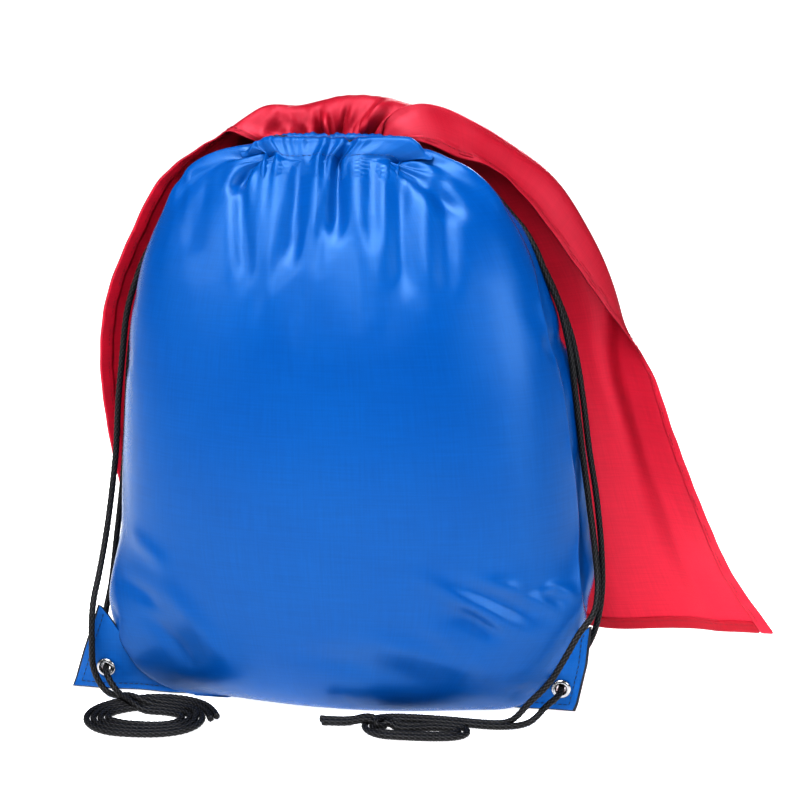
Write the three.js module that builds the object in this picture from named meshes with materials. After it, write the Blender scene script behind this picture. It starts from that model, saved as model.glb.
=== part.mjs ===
// A cinched drawstring backpack with a cape, stuffed and standing on its base.
// Millimetres, +Z up, +X to the right and the front of the bag towards -Y.
// The origin is the middle of the flat base, on the floor.
import * as THREE from "three";

// ---- driving dimensions ----
const GAP = 0.3; // between pieces that touch
const PANEL_WALL = 1.0; // the bag's fabric, thickened to a shell that can be made
const CAPE_WALL = 0.9; // the cape's fabric, likewise
const HEM_WALL = 1.5; // hems are folded over twice
const CORD_D = 4.4;
const CORD_SIDES = 8;
const CORD_STEP = 2.6 * CORD_D;

const SEAM_Y = 5; // the side seams' plane, where no corner pulls them forward
const SECTION_POWER = 2.35; // roundness of the bag's level sections, 2 is an ellipse
const SECTION_POINTS = 20;
// Level sections of the stuffed bag: height, left end, right end, front, back.
const SECTIONS = [
  [0, -100, 107, -45, 55],
  [4, -116, 119, -53, 62],
  [14, -134, 129, -60, 69],
  [30, -147, 141, -66, 74],
  [60, -160, 159, -69, 78],
  [110, -157, 156, -70, 80],
  [170, -152.5, 149, -68, 78],
  [220, -148, 141, -62, 73],
  [260, -142, 130, -55, 65],
  [295, -133, 118, -46, 56],
  [320, -122, 106, -36, 46],
  [338, -108, 92, -27, 37],
  [349, -94, 74, -20, 30],
  [355, -78, 56, -15.5, 25],
  [356.3, -63, 42, -13, 22],
  [356.5, -58, 37, -11.8, 20.3],
];
// Each panel is modelled as three bands, each given by its lowest and highest section.
const BANDS = { lower: [0, 5], middle: [5, 8], upper: [8, SECTIONS.length - 1] };
const BASE_SEAM_Y = 14; // how far back the bottom seam runs under the middle
const CORNER_PULL = { left: 50, right: 41 }; // the cords pull the seam's ends forward
const PULL_TOP = 130; // height where that pull starts

const NECK = { x: -10.5, y: SEAM_Y, half: 40.3, radius: 10, bow: 2.5, bowHalf: 44.3, turn: 8.6 };
const NECK_STEPS = 8;
const CASING = { bottom: 356.8, height: 12, depth: 7, wall: 1, half: 39.5 };
const UPPER_RUN_Z = CASING.bottom + CASING.height - CASING.wall - GAP - CORD_D / 2;
const LOWER_RUN_Z = CASING.bottom + CASING.wall + GAP + CORD_D / 2;

const CORNER_SHEET = 1.0; // thickness of each layer of a reinforced corner
const BACKING_MARGIN = 1.6; // how far the black backing shows past the facing
const EYELET = { hole: 3.2, barrel: 4.0, fabric: 4.4, flange: 6.5, lip: 1.2 };
const CORNERS = {
  left: {
    y: -46,
    eyelet: [-160, 17],
    outer: [[-162.5, 61], [-172, 34], [-181, 8], [-183.5, 2.2]],
    inner: [[-111.5, 2.2], [-120, 5], [-133, 12], [-143, 21.5], [-152.8, 38], [-161.3, 57]],
  },
  right: {
    y: -37,
    eyelet: [144.5, 17],
    outer: [[161.5, 61], [159.5, 34], [154.5, 8], [152.5, 2.2]],
    inner: [[116, 2.2], [122, 5], [129.2, 12], [136.8, 21.5], [148, 38], [158.6, 54]],
  },
};

const CAPE_HEM = 13; // width of the folded hems
const CAPE_COLUMNS = 20;
const CAPE_STEPS = 16; // from the neck to the bottom hem
// The cape from the neck to the floor, each row from its left edge to its right edge.
const CAPE_ROWS = [
  [
    [-78, 30, 359.5], [-53, 44, 360.5], [-26, 49, 361], [0, 50, 361.3],
    [26, 50, 361], [51, 46, 360.3], [77, 37, 358.5],
  ],
  [
    [-107, 25, 349], [-82, 43, 350], [-46, 53, 350.5], [-2, 56.5, 351],
    [42, 54, 351], [76, 46.5, 351], [103, 36, 350.5],
  ],
  [
    [-141, 27, 320], [-113, 46, 320], [-66, 60, 320], [-2, 65, 320],
    [62, 62, 320], [106, 54, 320], [139, 44, 320],
  ],
  [
    [-161, 30, 288], [-131, 52, 288], [-76, 70, 288], [0, 74, 288],
    [74, 71, 288], [124, 62, 288], [158, 50, 288],
  ],
  [
    [-179, 37, 240], [-149, 64, 240], [-86, 84, 240], [1, 87, 240],
    [88, 84, 240], [146, 74, 240], [181, 61, 240],
  ],
  [
    [-186, 49, 180], [-155, 76, 180], [-88, 92, 180], [8, 96, 180],
    [102, 94, 180], [160, 86, 180], [205, 73, 180],
  ],
  [
    [-180, 62, 112], [-149, 86, 112], [-85, 98, 112], [20, 101, 112],
    [118, 100, 112], [182, 96, 112], [231, 86, 112],
  ],
  [
    [-169, 78, 50], [-138, 94, 50], [-74, 102, 50], [30, 105, 50],
    [132, 105, 50], [205, 104, 50], [261, 101, 50],
  ],
  [
    [-157, 91, 1], [-126, 100, 1], [-62, 105, 1], [40, 108, 1],
    [140, 108, 1], [226, 109, 1], [294, 111, 1],
  ],
];
// The gathered roll above the neck: x, y, z of its middle, half depth, half height.
const RUFF = [
  [-76, 29, 371, 4, 4],
  [-64, 31, 374, 9, 10],
  [-36, 34, 377, 11, 13],
  [-6, 35, 379, 12, 14],
  [26, 35, 377, 12, 13],
  [52, 34, 373, 10, 11],
  [66, 33, 370, 5, 6],
];
const RUFF_SIDES = 16;

// The four free strands of the drawstrings, from the casing to where each tail begins.
const STRANDS = {
  left_front_strap: [
    [-51, -5.2, 365.3], [-58, -4.6, 365.2], [-66, -1.5, 363.4], [-75, 4.5, 359.4], [-85, 10.5, 355.2],
    [-98.5, 15.5, 346.6], [-109, 19.5, 334.8], [-119.5, 22, 319.5], [-129.8, 18.5, 304],
    [-139, 15.5, 288], [-147, 13, 268.5], [-153, 11.5, 248], [-157, 10, 219], [-160.5, 8, 189],
    [-162.5, 4, 155], [-164.5, -5, 124], [-166, -16, 99], [-167, -31, 77], [-167, -44, 64],
    [-166.5, -51.5, 50], [-166.5, -53.5, 34], [-166.5, -53.5, 22], [-164.5, -54.5, 13.5],
    [-158, -57, 8.5], [-149.5, -59.5, 5.2],
  ],
  left_rear_strap: [
    [-51, 15.2, 365.3], [-58, 15.5, 364.6], [-66, 15, 361.4], [-74, 16.5, 357.4], [-84, 20, 351.6],
    [-95.5, 23.5, 342.6], [-105.5, 26.5, 331], [-116, 27.5, 317.5], [-127, 24.5, 303.5],
    [-136, 21, 288.5], [-143.5, 18, 268], [-148.5, 15.5, 247], [-153, 13.5, 218], [-155.5, 12, 188],
    [-158, 10, 153], [-161, 6, 122], [-164, 0, 92], [-166.5, -8, 62], [-168.5, -18, 42],
    [-165.5, -29, 26], [-161.2, -38, 18.4], [-160, -46, 17], [-158.6, -53, 16.3],
    [-151, -59, 14.6], [-141, -63, 13],
  ],
  right_front_strap: [
    [30, -5.2, 360.3], [38, -4.2, 360.8], [46.5, 2, 361], [55, 11, 358.2], [65, 17, 353],
    [75, 21, 345.6], [86.5, 23, 337.5], [94.5, 24, 328.5], [102, 24, 319.5], [110.6, 20.5, 309],
    [118.8, 15.5, 297], [126, 12.5, 281], [134.8, 10.5, 262], [142.5, 8, 234], [147.6, 6, 201],
    [152.5, 3, 168], [158, -4, 136], [163.5, -15, 104], [166, -27, 84], [164, -39, 72],
    [155, -49.5, 61], [147, -55.5, 47], [139, -58.5, 33], [127, -60.5, 19], [113, -63.5, 8],
    [101, -65.5, 3.2],
  ],
  right_rear_strap: [
    [30, 15.2, 360.3], [37, 16.2, 360.2], [45, 20, 358], [54.5, 25.5, 352.6], [64.5, 29.5, 344.6],
    [76, 32, 333.6], [87.5, 33.5, 322.6], [96.5, 33, 313], [107.2, 28.8, 304.5], [117, 22.6, 295],
    [126.5, 18.5, 280], [135.5, 16, 261], [143, 14, 242], [148, 12.5, 222], [152, 11, 200],
    [157, 9, 167], [163, 4, 135], [167.5, -4, 100], [168.5, -12, 73], [164.5, -17.5, 50],
    [156, -21.5, 33], [147.5, -26, 20.5], [144.8, -32, 17.2], [144.5, -37, 17], [143.9, -42.5, 16.4],
    [140.5, -49, 14.4], [131, -57.5, 10.5], [118.5, -67, 6.6], [108.5, -70.6, 3.6],
  ],
};
// The tails: a double coil on the left, a double hank with an overhand knot on the right.
const TAIL_COIL = { x: -121, y: -86, z: 0.2, half: 17, radius: 24, height: 9.6, turn: 0.1 };
const TAIL_HANK = { x: 56, y: -78, z: 0.2, half: 22, radius: 15.5, height: 12.5, turn: 0.04 };
const ENDS = {
  left_front_end: [[-95.5, -58.4, 3.4], [-91, -57.6, 3.1], [-86, -57.4, 2.8], [-81, -58, 2.6]],
  left_rear_end: [[-97, -57.6, 8.4], [-92, -56.4, 7.9], [-87, -55.8, 7.4], [-82, -55.8, 7]],
  right_front_end: [[17.6, -74.2, 4.6], [10, -72.6, 3.6], [1, -71.4, 2.8], [-8, -71.6, 2.5]],
  right_rear_end: [[18.2, -79.2, 4.6], [10, -77.8, 3.6], [2, -76.8, 2.8], [-6, -77, 2.5]],
};

const BLUE = new THREE.MeshStandardMaterial({ color: 0x0b62e0, roughness: 0.45, metalness: 0 });
const RED = new THREE.MeshStandardMaterial({ color: 0xd9142f, roughness: 0.5, metalness: 0 });
const BLACK = new THREE.MeshStandardMaterial({ color: 0x101014, roughness: 0.7, metalness: 0 });
const CORD = new THREE.MeshStandardMaterial({ color: 0x0d0d11, roughness: 0.85, metalness: 0 });
const METAL = new THREE.MeshStandardMaterial({ color: 0xc9ccd2, roughness: 0.25, metalness: 1 });

// ---- geometry helpers ----
const vec = ([x, y, z]) => new THREE.Vector3(x, y, z);
const lerp = THREE.MathUtils.lerp;

// A closed geometry from points and triangles, turned to face out.
function solid(points, triangles) {
  const volume = triangles.reduce(
    (sum, [a, b, c]) => sum + points[a].dot(points[b].clone().cross(points[c])), 0);
  const faces = volume < 0 ? triangles.map(([a, b, c]) => [a, c, b]) : triangles;
  const geometry = new THREE.BufferGeometry().setFromPoints(points);
  geometry.setIndex(faces.flat());
  geometry.computeVertexNormals();
  return geometry;
}

// Fabric of the given thickness whose outer face is a grid of points. place puts a point of
// the inner face where the piece's edge wants it.
function sheet(grid, thickness, place = (inner) => inner) {
  const last = grid.length - 1;
  const end = grid[0].length - 1;
  const inner = grid.map((row, i) => row.map((point, j) => {
    const down = grid[Math.min(i + 1, last)][j].clone().sub(grid[Math.max(i - 1, 0)][j]);
    const across = row[Math.min(j + 1, end)].clone().sub(row[Math.max(j - 1, 0)]);
    const normal = across.cross(down).normalize();
    return place(point.clone().addScaledVector(normal, thickness), point, i, j);
  }));
  const columns = end + 1;
  const offset = columns * (last + 1);
  const at = (i, j) => i * columns + j;
  const triangles = [];
  const quad = (a, b, c, d) => triangles.push([a, b, c], [a, c, d]);
  for (let i = 0; i < last; i++) {
    for (let j = 0; j < end; j++) {
      quad(at(i, j), at(i + 1, j), at(i + 1, j + 1), at(i, j + 1));
      quad(
        offset + at(i, j), offset + at(i, j + 1), offset + at(i + 1, j + 1), offset + at(i + 1, j));
    }
    quad(at(i, 0), offset + at(i, 0), offset + at(i + 1, 0), at(i + 1, 0));
    quad(at(i, end), at(i + 1, end), offset + at(i + 1, end), offset + at(i, end));
  }
  for (let j = 0; j < end; j++) {
    quad(at(0, j), at(0, j + 1), offset + at(0, j + 1), offset + at(0, j));
    quad(at(last, j), offset + at(last, j), offset + at(last, j + 1), at(last, j + 1));
  }
  return solid([...grid.flat(), ...inner.flat()], triangles);
}

// A closed body through rings of points, with a flat fan over each end.
function loft(rings) {
  const sides = rings[0].length;
  const triangles = [];
  const at = (i, j) => i * sides + (j % sides);
  for (let i = 0; i < rings.length - 1; i++)
    for (let j = 0; j < sides; j++)
      triangles.push(
        [at(i, j), at(i, j + 1), at(i + 1, j + 1)], [at(i, j), at(i + 1, j + 1), at(i + 1, j)]);
  const top = rings.length - 1;
  for (let j = 1; j < sides - 1; j++)
    triangles.push([at(0, 0), at(0, j + 1), at(0, j)], [at(top, 0), at(top, j), at(top, j + 1)]);
  return solid(rings.flat(), triangles);
}

// A shape whose outline always runs the same way round, whichever way its points do.
function polygonShape(points) {
  const outline = points.map(([x, y]) => new THREE.Vector2(x, y));
  return new THREE.Shape(THREE.ShapeUtils.isClockWise(outline) ? outline.reverse() : outline);
}

function roundSection(diameter, sides) {
  const corners = [];
  for (let k = 0; k < sides; k++) {
    const angle = (2 * Math.PI * (k + 0.5)) / sides;
    corners.push([(diameter / 2) * Math.cos(angle), (diameter / 2) * Math.sin(angle)]);
  }
  return polygonShape(corners);
}

// A cord through the points, thinner than its route's steps so that no section crosses the next.
function cordAlong(points) {
  const route = new THREE.CatmullRomCurve3(points.map(vec), false, "centripetal");
  const steps = Math.max(3, Math.round(route.getLength() / CORD_STEP));
  return new THREE.ExtrudeGeometry(roundSection(CORD_D, CORD_SIDES), { steps, extrudePath: route });
}

// ---- the bag's two panels, each in three bands ----
function sectionAt(index) {
  const [z, left, right, front, back] = SECTIONS[index];
  const pull = THREE.MathUtils.smoothstep(PULL_TOP - z, 0, PULL_TOP - 20);
  return { z, left, right, front, back, pull };
}

// A point of a level section, for a turn from 0 at the left seam to 1 at the right seam.
function sectionPoint({ z, left, right, front, back, pull }, turn, side) {
  const angle = Math.PI * (1 - turn);
  const power = 2 / SECTION_POWER;
  const across = Math.sign(Math.cos(angle)) * Math.abs(Math.cos(angle)) ** power;
  const out = Math.sin(angle) ** power;
  const x = lerp(left, right, (across + 1) / 2);
  const corner = across < 0 ? CORNER_PULL.left : CORNER_PULL.right;
  const seam = SEAM_Y - corner * pull * across * across;
  return new THREE.Vector3(x, lerp(seam, side === "front" ? front : back, out), z);
}

// The bottom seam, from corner to corner under the bag.
function baseSeamPoint(turn) {
  const base = sectionAt(0);
  const { x } = sectionPoint(base, turn, "front");
  const end = sectionPoint(base, turn < 0.5 ? 0 : 1, "front");
  const across = (2 * (x - base.left)) / (base.right - base.left) - 1;
  return new THREE.Vector3(x, lerp(BASE_SEAM_Y, end.y, across * across), base.z);
}

function panelBand(side, [lowest, highest]) {
  const away = side === "front" ? -1 : 1; // the way this panel lies from the seams
  const last = SECTION_POINTS;
  const fromSeam = lowest === 0; // the lowest band starts at the bottom seam
  // Each row runs so that the fabric's thickness grows into the bag.
  const turns = Array.from({ length: last + 1 }, (_, k) => (away < 0 ? last - k : k) / last);
  const rows = fromSeam ? [turns.map(baseSeamPoint)] : [];
  for (let index = lowest; index <= highest; index++) {
    const section = sectionAt(index);
    if (index === lowest && !fromSeam) section.z += GAP / 2;
    if (index === highest && highest < SECTIONS.length - 1) section.z -= GAP / 2;
    rows.push(turns.map((turn) => sectionPoint(section, turn, side)));
  }
  rows.forEach((row, i) => row.forEach((point, j) => {
    if ((fromSeam && i === 0) || j === 0 || j === last) point.y += (away * GAP) / 2;
  }));
  // The inner face keeps to the seams and to its own side of them. It rises from the floor
  // row by row, so that no two of its points meet where the rows run together at the corners.
  return sheet(rows, PANEL_WALL, (inner, outer, i, j) => {
    inner.y = away * Math.max(away * inner.y, away * rows[i][0].y, away * rows[i][last].y);
    inner.z = Math.max(inner.z, PANEL_WALL * (1 + i / 4));
    if (j === 0 || j === last) {
      const inwards = (j === 0) === away < 0 ? -1 : 1;
      inner.set(outer.x + inwards * PANEL_WALL, outer.y, Math.max(outer.z, PANEL_WALL));
    } else if (fromSeam && i === 0) inner.set(outer.x, outer.y, PANEL_WALL);
    return inner;
  });
}

// ---- the drawstring casings and the cords they hold ----
// How far the neck's line stands in front of and behind its middle, bowed outwards.
function neckReach(x) {
  return NECK.radius + NECK.bow * (1 - (x / NECK.bowHalf) ** 2);
}

// That line from one x to another, -1 along the front and +1 along the back.
function neckRun(direction, z, from, to) {
  const points = [];
  for (let k = 0; k <= NECK_STEPS; k++) {
    const x = lerp(from, to, k / NECK_STEPS);
    points.push([NECK.x + x, NECK.y + direction * neckReach(x), z]);
  }
  return points;
}

function casing(direction) {
  const middle = CASING.bottom + CASING.height / 2;
  const route = new THREE.CatmullRomCurve3(
    neckRun(direction, middle, -CASING.half, CASING.half).map(vec), false, "centripetal");
  const sleeve = (height, depth) => {
    const round = depth / 2 - 0.01;
    const points = [];
    for (const [sx, sy, start] of [[1, 1, 0], [-1, 1, 1], [-1, -1, 2], [1, -1, 3]])
      for (let k = 0; k <= 3; k++) {
        const angle = (start + k / 3) * (Math.PI / 2);
        points.push([
          sx * (height / 2 - round) + round * Math.cos(angle),
          sy * (depth / 2 - round) + round * Math.sin(angle),
        ]);
      }
    return points;
  };
  const section = polygonShape(sleeve(CASING.height, CASING.depth));
  const bore = sleeve(CASING.height - 2 * CASING.wall, CASING.depth - 2 * CASING.wall);
  section.holes.push(polygonShape(bore));
  return new THREE.ExtrudeGeometry(section, { steps: 10, extrudePath: route });
}

// One drawstring inside both casings: in along the front, round one end, out along the back.
function neckCord(z, turnSide) {
  const open = -turnSide * (CASING.half + GAP);
  const close = turnSide * NECK.half;
  const bend = [];
  for (let k = 1; k < 6; k++) {
    const angle = (Math.PI * k) / 6;
    bend.push([
      NECK.x + close + turnSide * NECK.turn * Math.sin(angle),
      NECK.y - neckReach(close) * Math.cos(angle),
      z,
    ]);
  }
  return cordAlong([...neckRun(-1, z, open, close), ...bend, ...neckRun(1, z, close, open)]);
}

// ---- the reinforced corners ----
function cornerOutline({ outer, inner }, side, margin) {
  const outwards = side === "left" ? -1 : 1;
  const grown = outer.map(([x, z], k) => [x + outwards * margin, k > 1 ? z - margin : z]);
  const hem = inner.map(([x, z], k) => [x, k === 0 ? z - margin : z]);
  return [...grown, ...hem];
}

function cornerLayer(side, margin, front) {
  const corner = CORNERS[side];
  const shape = polygonShape(cornerOutline(corner, side, margin));
  const hole = new THREE.Path();
  hole.absarc(corner.eyelet[0], corner.eyelet[1], EYELET.fabric, 0, 2 * Math.PI, true);
  shape.holes.push(hole);
  const geometry = new THREE.ExtrudeGeometry(
    shape, { depth: CORNER_SHEET, bevelEnabled: false, curveSegments: 16 });
  geometry.rotateX(Math.PI / 2); // the shape's plane becomes the XZ plane
  geometry.translate(0, corner.y + front + CORNER_SHEET, 0);
  return geometry;
}

function turned(profile) {
  return new THREE.LatheGeometry(profile.map(([r, y]) => new THREE.Vector2(r, y)), 28);
}

// The eyelet's flange lies on the facing, and its barrel goes through to a rolled end.
function eyelet() {
  const { hole, barrel, flange, lip } = EYELET;
  const depth = 2 * CORNER_SHEET + 3 * GAP + lip;
  return turned([
    [hole, -0.3], [hole + 0.4, -0.9], [hole + 1.2, -1.2], [flange - 0.8, -1], [flange, -0.4],
    [flange, 0], [barrel, 0], [barrel, depth], [barrel + 0.6, depth + 0.3],
    [barrel + 0.4, depth + 0.7], [hole + 0.5, depth + 0.7], [hole, depth], [hole, -0.3],
  ]);
}

function eyeletWasher() {
  const { fabric, flange, lip } = EYELET;
  const thick = lip - GAP;
  return turned([
    [fabric, 0], [flange, 0], [flange, 0.4 * thick], [flange - 1, thick], [fabric, 0.7 * thick],
    [fabric, 0],
  ]);
}

// ---- the cape ----
const capeColumns = CAPE_ROWS[0].map((_, column) =>
  new THREE.CatmullRomCurve3(CAPE_ROWS.map((row) => vec(row[column])), false, "centripetal"));

// The cape's line across at a share of its length, from the neck to the hem.
function capeLine(share) {
  const points = capeColumns.map((column) => column.getPoint(share));
  return new THREE.CatmullRomCurve3(points, false, "centripetal");
}

// A patch of the cape, with its ends in millimetres from the left or the right edge.
function capePatch(from, to, shareFrom, shareTo, rows, columns, thickness) {
  const grid = [];
  for (let i = 0; i <= rows; i++) {
    const line = capeLine(lerp(shareFrom, shareTo, i / rows));
    const length = line.getLength();
    const start = from < 0 ? length + from : from;
    const stop = to <= 0 ? length + to : to;
    const row = [];
    for (let j = 0; j <= columns; j++)
      row.push(line.getPointAt(lerp(start, stop, j / columns) / length));
    grid.push(row);
  }
  return sheet(grid, thickness);
}

function ruff() {
  const middles = new THREE.CatmullRomCurve3(RUFF.map(([x, y, z]) => new THREE.Vector3(x, y, z)));
  const halves = new THREE.CatmullRomCurve3(RUFF.map(([, , , d, h]) => new THREE.Vector3(d, h, 0)));
  const rings = [];
  for (let i = 0; i <= RUFF_SIDES; i++) {
    const middle = middles.getPoint(i / RUFF_SIDES);
    const half = halves.getPoint(i / RUFF_SIDES);
    const ring = [];
    for (let k = 0; k < RUFF_SIDES; k++) {
      const angle = (2 * Math.PI * k) / RUFF_SIDES;
      ring.push(new THREE.Vector3(
        middle.x, middle.y + half.x * Math.cos(angle), middle.z + half.y * Math.sin(angle)));
    }
    rings.push(ring);
  }
  return loft(rings);
}

// ---- the tails on the floor ----
function tailSlab({ x, y, z, half, radius, height, turn }) {
  const shape = new THREE.Shape();
  shape.moveTo(-half, -radius);
  shape.lineTo(half, -radius);
  shape.absarc(half, 0, radius, -Math.PI / 2, Math.PI / 2, false);
  shape.lineTo(-half, radius);
  shape.absarc(-half, 0, radius, Math.PI / 2, (3 * Math.PI) / 2, false);
  const geometry = new THREE.ExtrudeGeometry(
    shape, { depth: height, bevelEnabled: false, curveSegments: 10 });
  return geometry.rotateZ(turn).translate(x, y, z);
}

// ---- the assembly ----
function mesh(name, geometry, material) {
  const piece = new THREE.Mesh(geometry, material);
  piece.name = name;
  return piece;
}

function reinforcedCorner(side) {
  const corner = CORNERS[side];
  const [x, z] = corner.eyelet;
  const group = new THREE.Group();
  group.add(mesh(`${side}_corner_facing`, cornerLayer(side, 0, 0), BLUE));
  group.add(mesh(`${side}_corner_backing`, cornerLayer(side, BACKING_MARGIN, CORNER_SHEET + GAP), BLACK));
  const grommet = mesh(`${side}_eyelet`, eyelet(), METAL);
  grommet.position.set(x, corner.y - GAP, z);
  const washer = mesh(`${side}_eyelet_washer`, eyeletWasher(), METAL);
  washer.position.set(x, corner.y + 2 * CORNER_SHEET + 2 * GAP, z);
  group.add(grommet, washer);
  return group;
}

const bag = new THREE.Group();
for (const side of ["front", "back"])
  for (const [band, range] of Object.entries(BANDS))
    bag.add(mesh(`${side}_panel_${band}`, panelBand(side, range), BLUE));
bag.add(mesh("front_casing", casing(-1), BLUE));
bag.add(mesh("back_casing", casing(1), BLUE));
bag.add(reinforcedCorner("left"), reinforcedCorner("right"));

const drawstrings = new THREE.Group();
drawstrings.add(mesh("left_drawstring_in_casing", neckCord(UPPER_RUN_Z, 1), CORD));
drawstrings.add(mesh("right_drawstring_in_casing", neckCord(LOWER_RUN_Z, -1), CORD));
for (const [name, points] of Object.entries({ ...STRANDS, ...ENDS }))
  drawstrings.add(mesh(name, cordAlong(points), CORD));
drawstrings.add(mesh("left_tail_coil", tailSlab(TAIL_COIL), CORD));
drawstrings.add(mesh("right_tail_hank", tailSlab(TAIL_HANK), CORD));

const cape = new THREE.Group();
const capeLength = capeColumns[3].getLength(); // down the middle
const hemShare = 1 - CAPE_HEM / capeLength;
const gapShare = GAP / capeLength;
cape.add(mesh("cape_ruff", ruff(), RED));
cape.add(mesh("cape_panel",
  capePatch(CAPE_HEM, -CAPE_HEM, 0, hemShare, CAPE_STEPS, CAPE_COLUMNS, CAPE_WALL), RED));
cape.add(mesh("cape_left_hem",
  capePatch(0, CAPE_HEM - GAP, 0, hemShare, CAPE_STEPS, 1, HEM_WALL), RED));
cape.add(mesh("cape_right_hem",
  capePatch(GAP - CAPE_HEM, 0, 0, hemShare, CAPE_STEPS, 1, HEM_WALL), RED));
cape.add(mesh("cape_bottom_hem",
  capePatch(0, 0, hemShare + gapShare, 1, 1, CAPE_COLUMNS, HEM_WALL), RED));

const backpack = new THREE.Group();
backpack.add(bag, drawstrings, cape);
export default backpack;
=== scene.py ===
# A stuffed, cinched drawstring backpack with a cape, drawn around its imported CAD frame.
# Sizes below are in millimetres, and become metres where a mesh is made.
import math

import bpy
import numpy as np
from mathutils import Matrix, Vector
from mathutils.bvhtree import BVHTree


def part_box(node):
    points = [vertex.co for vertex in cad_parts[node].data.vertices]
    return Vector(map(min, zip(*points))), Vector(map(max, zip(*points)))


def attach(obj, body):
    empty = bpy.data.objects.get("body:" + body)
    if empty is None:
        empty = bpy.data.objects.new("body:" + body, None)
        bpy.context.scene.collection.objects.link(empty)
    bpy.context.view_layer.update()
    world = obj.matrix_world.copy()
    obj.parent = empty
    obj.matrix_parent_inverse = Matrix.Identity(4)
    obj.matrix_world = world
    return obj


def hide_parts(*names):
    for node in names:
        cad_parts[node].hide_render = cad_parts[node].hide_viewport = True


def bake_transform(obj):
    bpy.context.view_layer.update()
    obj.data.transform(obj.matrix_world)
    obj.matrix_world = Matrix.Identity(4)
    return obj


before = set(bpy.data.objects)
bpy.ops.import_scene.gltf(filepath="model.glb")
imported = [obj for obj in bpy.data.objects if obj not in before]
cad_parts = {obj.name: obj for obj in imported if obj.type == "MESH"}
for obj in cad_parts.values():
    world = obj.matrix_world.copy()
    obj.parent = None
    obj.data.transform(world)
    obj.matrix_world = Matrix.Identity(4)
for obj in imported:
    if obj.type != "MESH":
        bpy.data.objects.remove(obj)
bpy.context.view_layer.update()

MM = 0.001

# ---- camera and studio ----
VIEW_AZIMUTH = 8
VIEW_ELEVATION = 15
VIEW_DISTANCE = 1040
VIEW_TARGET = (33.2, 0, 198.1)
LENS = 71.5
# The stage and its lamps are in metres, and the lamps' power in watts.
FLOOR_SIZE = 400
FLOOR_Z = -0.0004
FLOOR_GLOW = 0.62
WALL_HEIGHT = 20
WALL_RADIUS = 25
WALL_GLOW = 1.2
WORLD_STRENGTH = 0.12
SUN = {"toward": (0.45, 0.55, -1), "strength": 0.55, "angle": 50}
# Soft square lamps: place, what they face, size and power.
LAMPS = {
    "key": ((-0.15, -0.95, 0.98), (0, 0, 0.3), 0.5, 6),
    "top": ((-0.05, -0.5, 1.3), (0, 0, 0.33), 0.7, 17),
    "back": ((0.3, 1.4, 0.9), (0, 0, 0.2), 0.5, 9),
    "left": ((-1.0, -0.9, 0.8), (0, 0, 0.25), 0.4, 4),
    "fill": ((1.1, -0.8, 0.6), (0.1, 0, 0.2), 0.45, 6),
}

# ---- cords ----
CORD_D = 4.4
LYING_Z = CORD_D / 2 + 0.3  # a cord's centreline on the floor
BRAID_CELLS = 6  # diamonds round the cord
BRAID_PITCH = 3.8
BRAID_DEPTH = 0.5
TUBE_SIDES = 18
TUBE_STEP = 0.8
TAIL_STEP = 3
TAIL_LEAD = 12  # points of each strap that settle with its tail
TAIL_SMOOTHING = 6
SETTLE = {"rounds": 260, "drop": 0.12, "straighten": 0.12, "slack": 0.08, "fixed": 4, "ramp": 8}

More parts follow.
